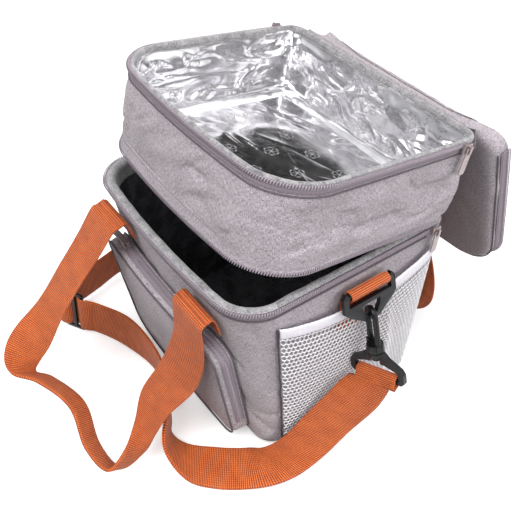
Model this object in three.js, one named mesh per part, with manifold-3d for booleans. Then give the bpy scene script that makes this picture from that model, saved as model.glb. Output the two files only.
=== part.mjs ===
// Double-deck insulated cooler bag: lower box, hinged tray with a hinged lid, front pocket,
// side nets, webbing handles and a hooked shoulder strap. Millimetres, +Z up, front at -Y,
// origin at the middle of the underside. The rest pose is the photographed one.
import * as THREE from 'three';
import Module from 'manifold-3d';
import { mergeVertices } from 'three/addons/utils/BufferGeometryUtils.js';

const wasm = await Module();
wasm.setup();

const bag = new THREE.Group();
bag.name = 'cooler_bag';

const mat = (hex, rough = 0.9, metal = 0) =>
  new THREE.MeshStandardMaterial({ color: hex, roughness: rough, metalness: metal });
const GREY = mat(0xa59ca2);
const FELT = mat(0xb4b5b0);
const FOAM = mat(0xe6e4de);
const BLACK_LINER = mat(0x0b0b0d, 0.35);
const FOIL = mat(0xc9cacc, 0.25, 0.8);
const ZIP = mat(0x8d858d, 0.6);
const ORANGE = mat(0xd9692f, 0.8);
const BLACK = mat(0x161618, 0.45);
const NET = mat(0xe9e8ee, 0.8);
const STEEL = mat(0x9a979c, 0.4, 0.7);
const BOARD = mat(0x4a4a4c, 0.8);

const deg = Math.PI / 180;

// Solid builders

function finish(geo) {
  geo.deleteAttribute('normal');
  geo.deleteAttribute('uv');
  return mergeVertices(geo, 1e-4);
}

function signedVolume(pos, idx) {
  let v = 0;
  const a = new THREE.Vector3();
  const b = new THREE.Vector3();
  const c = new THREE.Vector3();
  for (let i = 0; i < idx.length; i += 3) {
    a.fromArray(pos, idx[i] * 3);
    b.fromArray(pos, idx[i + 1] * 3);
    c.fromArray(pos, idx[i + 2] * 3);
    v += a.dot(b.cross(c));
  }
  return v / 6;
}

function solid(pos, idx) {
  if (signedVolume(pos, idx) < 0) {
    for (let i = 0; i < idx.length; i += 3) {
      [idx[i + 1], idx[i + 2]] = [idx[i + 2], idx[i + 1]];
    }
  }
  const geo = new THREE.BufferGeometry();
  geo.setAttribute('position', new THREE.Float32BufferAttribute(pos, 3));
  geo.setIndex(idx);
  return geo;
}

function add(name, geo, material, matrix) {
  const g = geo;
  if (matrix) g.applyMatrix4(matrix);
  g.computeVertexNormals();
  const m = new THREE.Mesh(g, material);
  m.name = name;
  bag.add(m);
  return m;
}

// Rings of points lofted one to the next, with a cap on the first and the last.
function loft(rings, capA, capB) {
  const n = rings[0].length;
  const pos = [];
  const idx = [];
  for (const r of rings) for (const p of r) pos.push(p[0], p[1], p[2]);
  for (let k = 0; k + 1 < rings.length; k += 1) {
    for (let i = 0; i < n; i += 1) {
      const j = (i + 1) % n;
      const a = k * n + i;
      const b = k * n + j;
      const c = (k + 1) * n + j;
      const d = (k + 1) * n + i;
      idx.push(a, b, c, a, c, d);
    }
  }
  const cap = (base, centre, flip) => {
    const m = pos.length / 3;
    pos.push(...centre);
    for (let i = 0; i < n; i += 1) {
      const j = (i + 1) % n;
      if (flip) idx.push(m, base + j, base + i);
      else idx.push(m, base + i, base + j);
    }
  };
  cap(0, capA, true);
  cap((rings.length - 1) * n, capB, false);
  return solid(pos, idx);
}

// A section of points carried along stations: at(station, point) gives the place. The sides listed
// in turned are split along their other diagonal, so that a twisted strip's two faces stay parallel.
function sweep(count, section, at, closed, turned = []) {
  const m = section.length;
  const pos = [];
  const idx = [];
  for (let i = 0; i < count; i += 1) {
    for (let k = 0; k < m; k += 1) pos.push(...at(i, section[k]));
  }
  const last = closed ? count : count - 1;
  for (let i = 0; i < last; i += 1) {
    const i2 = (i + 1) % count;
    for (let k = 0; k < m; k += 1) {
      const [a, b] = [i * m + k, i * m + ((k + 1) % m)];
      const [d, c] = [i2 * m + k, i2 * m + ((k + 1) % m)];
      if (turned.includes(k)) idx.push(a, b, d, b, c, d);
      else idx.push(a, b, c, a, c, d);
    }
  }
  if (!closed) {
    const flat = section.map((p) => new THREE.Vector2(p[0], p[1]));
    const tris = THREE.ShapeUtils.triangulateShape(flat, []);
    const ccw = THREE.ShapeUtils.area(flat) > 0;
    const e = (count - 1) * m;
    for (const [a, b, c] of tris) {
      if (ccw) {
        idx.push(a, c, b);
        idx.push(e + a, e + b, e + c);
      } else {
        idx.push(a, b, c);
        idx.push(e + a, e + c, e + b);
      }
    }
    fixCaps(pos, idx, m, count, tris.length);
  }
  return solid(pos, idx);
}

// Makes the two end caps agree with the side faces whichever way the section runs.
function fixCaps(pos, idx, m, count, capTris) {
  const edges = new Set();
  const sideEnd = idx.length - capTris * 6;
  for (let i = 0; i < sideEnd; i += 3) {
    for (let k = 0; k < 3; k += 1) edges.add(`${idx[i + k]}_${idx[i + (k + 1) % 3]}`);
  }
  let clash = false;
  for (let i = sideEnd; i < idx.length; i += 3) {
    for (let k = 0; k < 3; k += 1) {
      if (edges.has(`${idx[i + k]}_${idx[i + (k + 1) % 3]}`)) clash = true;
    }
  }
  if (clash) {
    for (let i = sideEnd; i < idx.length; i += 3) {
      [idx[i + 1], idx[i + 2]] = [idx[i + 2], idx[i + 1]];
    }
  }
}

function toManifold(geo) {
  const g = finish(geo.clone());
  const mesh = new wasm.Mesh({
    numProp: 3,
    vertProperties: new Float32Array(g.attributes.position.array),
    triVerts: new Uint32Array(g.index.array),
  });
  return new wasm.Manifold(mesh);
}

function fromManifold(man) {
  const mesh = man.getMesh();
  const geo = new THREE.BufferGeometry();
  geo.setAttribute('position', new THREE.Float32BufferAttribute(new Float32Array(mesh.vertProperties), 3));
  geo.setIndex(Array.from(mesh.triVerts));
  return geo;
}

const join = (...list) => fromManifold(list.map(toManifold).reduce((a, b) => a.add(b)));
const cut = (a, ...list) => fromManifold(list.map(toManifold).reduce((x, b) => x.subtract(b), toManifold(a)));

function box(x0, x1, y0, y1, z0, z1) {
  const g = new THREE.BoxGeometry(x1 - x0, y1 - y0, z1 - z0);
  g.translate((x0 + x1) / 2, (y0 + y1) / 2, (z0 + z1) / 2);
  return finish(g);
}

function slab(points, depth) {
  const s = new THREE.Shape(points.map((p) => new THREE.Vector2(...p)));
  return finish(new THREE.ExtrudeGeometry(s, { depth, bevelEnabled: false }));
}

function plate(points, depth, holes = []) {
  const whole = slab(points, depth);
  if (!holes.length) return whole;
  return cut(whole, ...holes.map((h) => slab(h, depth + 2).translate(0, 0, -1)));
}

function arcPoints(cx, cy, r, a0, a1, n) {
  const out = [];
  for (let i = 0; i <= n; i += 1) {
    const a = (a0 + ((a1 - a0) * i) / n) * deg;
    out.push([cx + r * Math.cos(a), cy + r * Math.sin(a)]);
  }
  return out;
}

// Plan outline of the bag: 38 points, counter-clockwise from the middle of the back.
// Marks: 5 left side starts at the back, 9 to 16 front-left corner, 22 to 29 front-right
// corner, 33 right side ends at the back.
function outline({ hw, yb, yf, rb, rf, bow, full }) {
  const p = [];
  const line = (x0, y0, x1, y1, n) => {
    for (let k = 0; k < n; k += 1) p.push([x0 + ((x1 - x0) * k) / n, y0 + ((y1 - y0) * k) / n]);
  };
  const arc = (cx, cy, r, a0, a1, n) => p.push(...arcPoints(cx, cy, r, a0, a1, n).slice(0, n));
  line(0, yb, -(hw - rb), yb, 1);
  arc(-(hw - rb), yb - rb, rb, 90, 180, 4);
  line(-hw, yb - rb, -hw, yf + rf, 4);
  arc(-(hw - rf), yf + rf, rf, 180, 270, 7);
  line(-(hw - rf), yf, hw - rf, yf, 6);
  arc(hw - rf, yf + rf, rf, 270, 360, 7);
  line(hw, yf + rf, hw, yb - rb, 4);
  arc(hw - rb, yb - rb, rb, 0, 90, 4);
  line(hw - rb, yb, 0, yb, 1);
  const yc = (yb + yf) / 2;
  const hd = (yb - yf) / 2;
  for (const q of p) {
    const wx = 1 - (q[0] / hw) ** 2;
    const wy = 1 - ((q[1] - yc) / hd) ** 2;
    if (q[1] < 0) q[1] -= bow * wx;
    q[0] += Math.sign(q[0]) * full * wy * Math.abs(q[0] / hw);
  }
  const n = p.length;
  return p.map((q, i) => {
    const a = p[(i + n - 1) % n];
    const b = p[(i + 1) % n];
    const tx = b[0] - a[0];
    const ty = b[1] - a[1];
    const l = Math.hypot(tx, ty);
    return { x: q[0], y: q[1], nx: ty / l, ny: -tx / l };
  });
}
const RING = 38;

function place(out, i, off, z) {
  const q = out[i];
  return [q.x + off * q.nx, q.y + off * q.ny, z];
}

// A cup from a list of [offset, height] pairs, down its outside and up its inside. A third value
// draws the ring in to that share of its size.
function cup(outAt, profile, centreA, centreB, lift) {
  const rings = profile.map(([off, z, share = 1]) => {
    const ring = [];
    for (let i = 0; i < RING; i += 1) {
      const zz = lift ? lift(i, z) : z;
      const [x, y] = place(outAt(zz), i, off, zz);
      ring.push([x * share, y * share, zz]);
    }
    return ring;
  });
  return loft(rings, centreA, centreB);
}

// A section of [offset, height] pairs carried round part or all of an outline.
function wrap(outAt, section, i0, i1) {
  const closed = i0 === undefined;
  const count = closed ? RING : i1 - i0 + 1;
  const at = (k, [off, z]) => place(outAt(z), closed ? k : i0 + k, off, z);
  return sweep(count, section, at, closed);
}

// Lower box

const H = 206;
const HALF_W = 117;
const BASE_FRONT = -91;
const FRONT_LEAN = 31;
const BACK = 92;
const LINING_TOP = H - 18.6;
const rise = (z) => Math.min(1, Math.max(0, z / H));
const frontY = (s) => BASE_FRONT - FRONT_LEAN * s;
const frontRadius = (s) => 20 + 12 * s;
const lowerAt = (z) => {
  const s = rise(z);
  return outline({
    hw: HALF_W, yb: BACK + 2 * s, yf: frontY(s), rb: 14, rf: frontRadius(s),
    bow: 4 + 4 * s, full: 2.5 * Math.sin(Math.PI * s),
  });
};

add('lower_shell', cup(lowerAt, [
  [-9, 0], [-4.5, 1.2], [-1.2, 4.5], [0, 10], [0, 60], [0, 130], [0, LINING_TOP], [0, H],
  [-1.6, H], [-1.6, LINING_TOP], [-1.6, 130], [-1.6, 60], [-1.6, 10], [-2.6, 5.3], [-9, 1.6],
], [0, 0, 0], [0, 0, 1.6]), GREY);

const boardRing = (z) => lowerAt(0).map((_, i) => place(lowerAt(0), i, -11, z));
add('base_board', loft([boardRing(1.95), boardRing(4.4)], [0, 0, 1.95], [0, 0, 4.4]), BOARD);

add('lower_foam', wrap(lowerAt, [
  [-2.1, 9.9], [-2.1, 60], [-2.1, 130], [-2.1, LINING_TOP], [-5.8, LINING_TOP], [-5.8, 130], [-5.8, 60], [-5.8, 14],
]), FOAM);
add('lower_floor_foam', cup(lowerAt, [
  [-4.4, 4.75], [-2.4, 9.3], [-9.5, 9.3], [-10, 8.75],
], [0, 0, 4.75], [0, 0, 8.75]), FOAM);

add('lower_liner', cup(lowerAt, [
  [-10.4, 9.3], [-6.3, 14.3], [-6.3, 60], [-6.3, 130], [-6.3, LINING_TOP],
  [-7.2, LINING_TOP], [-7.2, 130], [-7.2, 60], [-7.2, 15], [-10.8, 10.2],
], [0, 0, 9.3], [0, 0, 10.2]), BLACK_LINER);

add('lower_rim_facing', wrap(lowerAt, [
  [-1.95, LINING_TOP + 0.4], [-7.6, LINING_TOP + 0.4], [-7.6, H - 3.5], [-6.2, H - 1], [-1.95, H - 0.2],
]), FELT);

const zipSection = (top) => [
  [0.35, top - 14], [1.25, top - 14], [1.25, top - 3.6], [2.9, top - 3.3], [2.9, top - 0.8], [0.35, top - 0.3],
];
add('lower_zip', wrap(lowerAt, zipSection(H), 3, 35), ZIP);

// Tray: built closed on the lower rim, then tipped back about its hinge

const TRAY_OPEN = 8 * deg;
const PANEL_OPEN = 112 * deg;
const LID_OPEN = 131 * deg;
const TRAY_Z = H + 1.4;
const T = 76;
const HINGE1 = { y: 97.7, z: H + 0.9 };
const HINGE2 = { y: 98.4, z: TRAY_Z + T + 0.4 };
const HINGE3 = { y: 98.4, z: TRAY_Z + T + 20 };

const about = (y, z, angle) => new THREE.Matrix4().makeTranslation(0, y, z)
  .multiply(new THREE.Matrix4().makeRotationX(angle))
  .multiply(new THREE.Matrix4().makeTranslation(0, -y, -z));
const trayM = about(HINGE1.y, HINGE1.z, -TRAY_OPEN);
const panelM = trayM.clone().multiply(about(HINGE2.y, HINGE2.z, -PANEL_OPEN));
const lidM = panelM.clone().multiply(about(HINGE3.y, HINGE3.z, -LID_OPEN));
const up = new THREE.Matrix4().makeTranslation(0, 0, TRAY_Z);
const trayLift = trayM.clone().multiply(up);
const lidLift = lidM.clone().multiply(up);

const SIDE_FULL = 0.8;
const FILM_TOP = T - 15.6;
const trayAt = (z) => {
  const s = Math.min(1.3, Math.max(0, z / T));
  return outline({ hw: HALF_W + 1 - s, yb: 96, yf: -106 + 6 * s, rb: 14, rf: 42, bow: 9, full: SIDE_FULL });
};

add('tray_shell', cup(trayAt, [
  [-9, 0], [-4.5, 1.2], [-1.2, 4.5], [0, 9], [0, 16], [1.2, 30], [1.2, 46], [0, 59], [0, T],
  [-1.6, T], [-1.6, 59], [-0.4, 46], [-0.4, 30], [-1.6, 16], [-1.6, 9], [-2.6, 5.3], [-5.3, 2.6], [-9.5, 1.6],
], [0, 0, 0], [0, 0, 1.6]), GREY, trayLift);

// The floor pad and its lining swell towards the middle in two steps.
const DOME_OUTER = 0.76;
const DOME_INNER = 0.5;
add('tray_foam', wrap(trayAt, [
  [-2.82, 5.8], [-1.95, 9.2], [-1.95, FILM_TOP], [-5.9, FILM_TOP], [-5.9, 12], [-8, 6.1],
]), FOAM, trayLift);
add('tray_floor_foam', cup(trayAt, [
  [-9.6, 1.95], [-5.6, 2.9], [-2.95, 5.4], [-13, 6], [-13, 8.6, DOME_OUTER], [-13, 10.4, DOME_INNER],
], [0, 0, 1.95], [0, 0, 11]), FOAM, trayLift);

add('tray_liner', cup(trayAt, [
  [-13, 10.8, DOME_INNER], [-13, 9, DOME_OUTER], [-13, 6.4], [-9.25, 8], [-6.25, 12.2], [-6.25, FILM_TOP],
  [-7.2, FILM_TOP], [-7.2, 12.8], [-9.8, 8.8], [-13.3, 7.3], [-13.3, 10, DOME_OUTER], [-13.3, 11.8, DOME_INNER],
], [0, 0, 11.4], [0, 0, 12.4]), FOIL, trayLift);

add('tray_rim_facing', wrap(trayAt, [
  [-1.95, FILM_TOP + 0.4], [-7.6, FILM_TOP + 0.4], [-7.6, T - 3.5], [-6.2, T - 1], [-1.95, T - 0.3],
]), FELT, trayLift);

add('tray_top_zip', wrap(trayAt, zipSection(T), 4, 34), ZIP, trayLift);

add('tray_low_zip', wrap(trayAt, [
  [0.35, 15], [1.25, 15], [1.7, 9], [1.7, 3.6], [2.9, 3.3], [2.9, 0.7], [0.5, 0.7], [0.45, 9],
], 3, 35), ZIP, trayLift);

// A hinge strip along X: a round bead on the axis and a leaf leading away from it.
function leaf(halfX, r, leafPoints) {
  const shape = [...arcPoints(0, 0, r, leafPoints.from, leafPoints.to, 10), ...leafPoints.points];
  const geo = plate(shape, halfX * 2);
  const turn = new THREE.Matrix4().set(0, 0, 1, -halfX, 1, 0, 0, 0, 0, 1, 0, 0, 0, 0, 0, 1);
  geo.applyMatrix4(turn);
  return geo;
}
const at2 = ({ y, z }) => new THREE.Matrix4().makeTranslation(0, y, z);

add('tray_hinge_strip', leaf(100, 1.8, {
  from: -60, to: 215, points: [[-3.3, -4], [-3.3, -22], [-1.9, -22], [-1.9, -5]],
}), GREY, at2(HINGE1));

add('tray_back_strip', box(-98, 98, 96.35, 97.7, HINGE1.z + 2.5, HINGE1.z + 18), GREY, trayM);

add('tray_top_strip', leaf(101, 1.8, {
  from: -60, to: 215, points: [[-2.05, -3], [-2.05, -17], [-0.6, -17], [-0.6, -3.5]],
}), GREY, trayM.clone().multiply(at2(HINGE2)));

// The fabric panel between the tray's rim and the lid's top edge
const PANEL = HINGE3.z - HINGE2.z;
add('lid_hinge_panel', leaf(101, 1.8, {
  from: -60, to: 240, points: [[-0.8, -3], [-0.8, 2.3 - PANEL], [0.8, 2.3 - PANEL], [0.8, -3]],
}), GREY, panelM.clone().multiply(at2(HINGE3)));

// Lid: built closed on the tray, then folded right over the back and down behind

const lidAt = () => outline({ hw: HALF_W, yb: 89, yf: -100, rb: 14, rf: 42, bow: 9, full: SIDE_FULL });
const backFade = (i) => {
  const k = Math.min(i, RING - i);
  return [1, 1, 0.75, 0.35, 0][k] ?? 0;
};
const skirt = (low, high) => (i, z) => (z === low ? low + (high - low) * backFade(i) : z);

add('lid_shell', cup(lidAt, [
  [-9, T + 19.1], [-4.5, T + 18.5], [-1.2, T + 15.8], [0, T + 12.6], [0, T + 1.2],
  [-1.6, T + 1.2], [-1.6, T + 12.4], [-2.6, T + 15], [-5.3, T + 17], [-9.5, T + 17.5],
], [0, 0, T + 19.1], [0, 0, T + 17.5], skirt(T + 1.2, T + 11.6)), GREY, lidLift);

add('lid_foam', cup(lidAt, [
  [-9.6, T + 17.2], [-5.6, T + 16.6], [-2.9, T + 14.8], [-1.95, T + 13.3], [-1.95, T + 3.2],
  [-5.4, T + 3.2], [-5.4, T + 12.4], [-7, T + 13], [-10, T + 13.2],
], [0, 0, T + 17.2], [0, 0, T + 13.2], skirt(T + 3.2, T + 12.2)), FOAM, lidLift);

add('lid_liner', cup(lidAt, [
  [-10.2, T + 12.9], [-7.2, T + 12.7], [-5.75, T + 12.1], [-5.75, T + 3.2],
  [-6.6, T + 3.2], [-6.6, T + 11.4], [-7.6, T + 11.9], [-10.6, T + 12.1],
], [0, 0, T + 12.9], [0, 0, T + 12.1], skirt(T + 3.2, T + 11.2)), FOIL, lidLift);

add('lid_zip', wrap(lidAt, [
  [0.35, T + 14], [1.25, T + 14], [1.25, T + 4.4], [2.9, T + 4.1], [2.9, T + 1.6], [0.35, T + 1.1],
], 4, 34), ZIP, lidLift);

add('lid_hinge_flap', box(-98, 98, HINGE3.y - 26, HINGE3.y - 2.2, HINGE3.z - 0.6, HINGE3.z + 0.6), GREY, lidM);

// Front pocket: a gusseted patch that follows the leaning, bowed front wall

const wallY = (x, z) => {
  const s = rise(z);
  return frontY(s) - (4 + 4 * s) * Math.max(0, 1 - (x / HALF_W) ** 2);
};
const POCKET = { hw: 92, z0: 9, z1: 150, r: 19 };
function pocketRing() {
  const { hw, z0, z1, r } = POCKET;
  const p = [];
  const line = (x0, za, x1, zb, n) => {
    for (let k = 0; k < n; k += 1) p.push([x0 + ((x1 - x0) * k) / n, za + ((zb - za) * k) / n]);
  };
  const arc = (cx, cz, a0, a1) => p.push(...arcPoints(cx, cz, r, a0, a1, 5).slice(0, 5));
  line(-(hw - r), z1, -(hw - r), z1, 0);
  arc(-(hw - r), z1 - r, 90, 180);
  line(-hw, z1 - r, -hw, z0 + r, 4);
  arc(-(hw - r), z0 + r, 180, 270);
  line(-(hw - r), z0, hw - r, z0, 6);
  arc(hw - r, z0 + r, 270, 360);
  line(hw, z0 + r, hw, z1 - r, 4);
  arc(hw - r, z1 - r, 0, 90);
  line(hw - r, z1, -(hw - r), z1, 6);
  const n = p.length;
  return p.map((q, i) => {
    const a = p[(i + n - 1) % n];
    const b = p[(i + 1) % n];
    const l = Math.hypot(b[0] - a[0], b[1] - a[1]);
    return { x: q[0], z: q[1], nx: (b[1] - a[1]) / l, nz: -(b[0] - a[0]) / l };
  });
}
const pring = pocketRing();
const POCKET_MID = (POCKET.z0 + POCKET.z1) / 2;
const pocketPoint = (i, off, out, share = 1) => {
  const q = pring[i % pring.length];
  const x = (q.x + off * q.nx) * share;
  const z = POCKET_MID + (q.z + off * q.nz - POCKET_MID) * share;
  return [x, wallY(x, z) - out, z];
};
const pocketLoop = (off, out, share) => pring.map((_, i) => pocketPoint(i, off, out, share));
const mid = (out) => [0, wallY(0, POCKET_MID) - out, POCKET_MID];
add('pocket_shell', loft([
  pocketLoop(-4, 22.5, 0.42), pocketLoop(-4, 21.5, 0.75), pocketLoop(-4, 18.5), pocketLoop(-1, 17),
  pocketLoop(0, 14), pocketLoop(0, 0.5), pocketLoop(-1.8, 0.5), pocketLoop(-1.8, 14), pocketLoop(-4.5, 16.6),
  pocketLoop(-4.5, 19.6, 0.75), pocketLoop(-4.5, 20.6, 0.42),
], mid(22.7), mid(20.8)), GREY);

// The pocket's zip starts at its top-left corner and runs over the top and down its right side.
const ZIP_FIRST = 20;
const zipIndex = (k) => pring.length - k;
const pocketZipCount = 18;
add('pocket_zip', sweep(pocketZipCount, [
  [0.35, 3], [0.35, 12.5], [1.1, 12.5], [1.1, 9.4], [2.3, 9.1], [2.3, 6.4], [1.1, 6.1], [1.1, 3],
], (k, [off, out]) => pocketPoint(zipIndex(k) % pring.length, off, out), false), ZIP);

// Side nets with their elastic hems

const NET_BACK = 80;
const NET_LOW = 13;
const HEM_BELOW_RIM = 22;
const HEM_ENDS = H - HEM_BELOW_RIM;
const HEM_DROP = 14;
const HEM_H = 12;
const netFront = (z) => frontY(rise(z)) + frontRadius(rise(z)) - 2;
const sideX = (y, z) => {
  const s = rise(z);
  const yf = frontY(s);
  const yb = BACK + 2 * s;
  const wy = 1 - ((y - (yb + yf) / 2) / ((yb - yf) / 2)) ** 2;
  return HALF_W + 2.5 * Math.sin(Math.PI * s) * wy;
};
// t runs 0 at the front to 1 at the back, v 0 at the bottom to 1 under the hem, w is out from the net.
const netTop = (t) => HEM_ENDS - 4 * HEM_DROP * t * (1 - t) - HEM_H - 0.6;
const belly = (t, v) => 2.2 + Math.sqrt(Math.max(0, 4 * t * (1 - t))) * (2 + 14.4 * v - 12.3 * v * v);
const netY = (t, z) => netFront(z) + t * (NET_BACK - netFront(z));
function netPoint(side, t, v, w) {
  const z = NET_LOW + v * (netTop(t) - NET_LOW);
  const y = netY(t, z);
  return [side * (sideX(y, z) + belly(t, v) + w), y, z];
}
// Diamond mesh on a lattice: strands cross where column and row add up to an even number, and the
// holes lie between the crossings, where they add up to an odd one.
const NET_COLS = 16;
const NET_ROWS = 12;
const HOLE_U = 0.74;
const HOLE_V = 0.78;
const isHole = (i, j) => (i + j) % 2 !== 0 && i > 0 && i < NET_COLS && j > 0 && j < NET_ROWS;
const onNet = (i, j) => i >= 0 && i <= NET_COLS && j >= 0 && j <= NET_ROWS;
// The hole's corner in direction (di, dj), or the lattice point itself on the border
const corner = (i, j, di, dj) => (isHole(i, j) ? [i + di * HOLE_U, j + dj * HOLE_V] : [i, j]);
function netPolygons() {
  const list = [];
  for (let i = 0; i <= NET_COLS; i += 1) {
    for (let j = 0; j <= NET_ROWS; j += 1) {
      if ((i + j) % 2 === 0) {
        const tips = [[1, 0], [0, 1], [-1, 0], [0, -1]].map(([di, dj]) => (
          onNet(i + di, j + dj) ? corner(i + di, j + dj, -di, -dj) : [i, j]));
        const border = tips.findIndex(([u, v]) => u === i && v === j);
        list.push(border < 0 ? tips : [...tips.slice(border), ...tips.slice(0, border)]);
      }
      if (i < NET_COLS && j < NET_ROWS) {
        list.push((i + j) % 2 === 0
          ? [corner(i + 1, j, -1, 0), corner(i + 1, j, 0, 1), corner(i, j + 1, 1, 0), corner(i, j + 1, 0, -1)]
          : [corner(i, j, 1, 0), corner(i + 1, j + 1, 0, -1), corner(i + 1, j + 1, -1, 0), corner(i, j, 0, 1)]);
      }
    }
  }
  return list;
}
function net(side) {
  const thick = 0.9;
  const pos = [];
  const idx = [];
  const seen = new Map();
  const vertex = ([i, j]) => {
    const key = `${i.toFixed(3)} ${j.toFixed(3)}`;
    if (!seen.has(key)) {
      seen.set(key, pos.length / 3);
      pos.push(...netPoint(side, i / NET_COLS, j / NET_ROWS, 0));
      pos.push(...netPoint(side, i / NET_COLS, j / NET_ROWS, thick));
    }
    return seen.get(key);
  };
  const edges = new Set();
  for (const polygon of netPolygons()) {
    const ring = polygon.map(vertex).filter((v, k, all) => v !== all[(k + 1) % all.length]);
    for (let k = 1; k + 1 < ring.length; k += 1) {
      idx.push(ring[0], ring[k + 1], ring[k], ring[0] + 1, ring[k] + 1, ring[k + 1] + 1);
    }
    ring.forEach((v, k) => edges.add(`${v} ${ring[(k + 1) % ring.length]}`));
  }
  for (const edge of edges) {
    const [a, b] = edge.split(' ').map(Number);
    if (!edges.has(`${b} ${a}`)) idx.push(a, b, b + 1, a, b + 1, a + 1);
  }
  return solid(pos, idx);
}
function hem(side) {
  const n = 15;
  return sweep(n, [[-0.4, 0.35], [1.5, 0.35], [1.5, 12.2], [-0.4, 12.2]], (k, [w, h]) => {
    const t = k / (n - 1);
    const z = netTop(t) + h;
    const y = netY(t, z);
    return [side * (sideX(y, z) + belly(t, 1) + w), y, z];
  }, false);
}
for (const [tag, side] of [['right', 1], ['left', -1]]) {
  add(`net_${tag}`, net(side), NET);
  add(`net_hem_${tag}`, hem(side), NET);
}

// Webbing ribbons: stations give the middle, the width direction, the width and the thickness

const WEB = 42;
const V = (a) => new THREE.Vector3(...a);
function smooth(stations, per) {
  const out = [];
  const key = (s) => [...s.p, ...s.w, s.width ?? WEB, s.thick ?? 1.5];
  const n = stations.length;
  const get = (i) => key(stations[Math.min(n - 1, Math.max(0, i))]);
  for (let i = 0; i + 1 < n; i += 1) {
    const [a, b, c, d] = [get(i - 1), get(i), get(i + 1), get(i + 2)];
    for (let k = 0; k < per; k += 1) {
      const t = k / per;
      out.push(b.map((_, j) => 0.5 * (2 * b[j] + (c[j] - a[j]) * t
        + (2 * a[j] - 5 * b[j] + 4 * c[j] - d[j]) * t * t
        + (3 * b[j] - a[j] - 3 * c[j] + d[j]) * t * t * t)));
    }
  }
  out.push(get(n - 1));
  return out;
}
function ribbonFrames(rows) {
  return rows.map((r, i) => {
    const a = rows[Math.max(0, i - 1)];
    const b = rows[Math.min(rows.length - 1, i + 1)];
    const t = new THREE.Vector3(b[0] - a[0], b[1] - a[1], b[2] - a[2]).normalize();
    const w = new THREE.Vector3(r[3], r[4], r[5]).normalize();
    const n = new THREE.Vector3().crossVectors(w, t).normalize();
    return { p: new THREE.Vector3(r[0], r[1], r[2]), w, n, half: r[6] / 2, thick: r[7] };
  });
}
function ribbon(stations, per = 3, shift = 0) {
  const f = ribbonFrames(smooth(stations, per));
  return sweep(f.length, [[-1, -0.5], [1, -0.5], [1, 0.5], [-1, 0.5]], (i, [a, b]) => {
    const q = f[i];
    const p = q.p.clone().addScaledVector(q.w, a * q.half).addScaledVector(q.n, b * q.thick + shift);
    return [p.x, p.y, p.z];
  }, false, [2]);
}

// Handles: a sewn anchor on each side of the wall and one long loop between them

const ANCHOR_X = 68;
const FRONT_SEAM = 184;
const BACK_SEAM = 170;
const PIVOT_F = { y: -136, z: 190.4 };
const PIVOT_B = { y: 97.2, z: BACK_SEAM };
const frontFace = (x, z) => Math.min(wallY(x - WEB / 2, z), wallY(x + WEB / 2, z), wallY(x, z)) - 0.35;
const backFace = (z) => BACK + (2 * z) / H + 0.4;

// A strip of webbing along X, from a profile of points in the bag's side view
function strip(x, points) {
  const geo = plate(points, WEB);
  geo.applyMatrix4(new THREE.Matrix4().set(0, 0, 1, x - WEB / 2, 1, 0, 0, 0, 0, 1, 0, 0, 0, 0, 0, 1));
  return solid(Array.from(geo.attributes.position.array), Array.from(geo.index.array));
}
// Sewn flat on the wall below the seam, then curling over and out to where the handle hangs
function frontAnchor(x) {
  const low = 170;
  const f = (z) => frontFace(x, z);
  const seam = f(FRONT_SEAM) - 1.5;
  return strip(x, [
    [f(low), low], [f(low) - 1.5, low], [seam - 0.6, FRONT_SEAM - 3], [seam - 2, FRONT_SEAM + 3.6], [seam - 5, 190.6],
    [PIVOT_F.y + 0.5, PIVOT_F.z - 1], [PIVOT_F.y + 0.14, PIVOT_F.z + 0.05], [seam - 5.6, 192], [seam - 2, 191.4],
    [seam + 0.2, FRONT_SEAM + 3], [f(FRONT_SEAM), FRONT_SEAM - 2],
  ]);
}
const backAnchor = (x) => strip(x, [
  [backFace(60), 60], [backFace(60) + 1.5, 60], [backFace(164) + 1.5, 164],
  [PIVOT_B.y + 0.78, PIVOT_B.z - 1.29], [PIVOT_B.y - 0.12, PIVOT_B.z - 0.09], [backFace(166), 166],
]);
const BACK_ANCHOR_X = 52;
add('handle_front_anchor_left', frontAnchor(-ANCHOR_X), ORANGE);
add('handle_front_anchor_right', frontAnchor(ANCHOR_X), ORANGE);
add('handle_back_anchor_left', backAnchor(-BACK_ANCHOR_X), ORANGE);
add('handle_back_anchor_right', backAnchor(BACK_ANCHOR_X), ORANGE);

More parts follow.
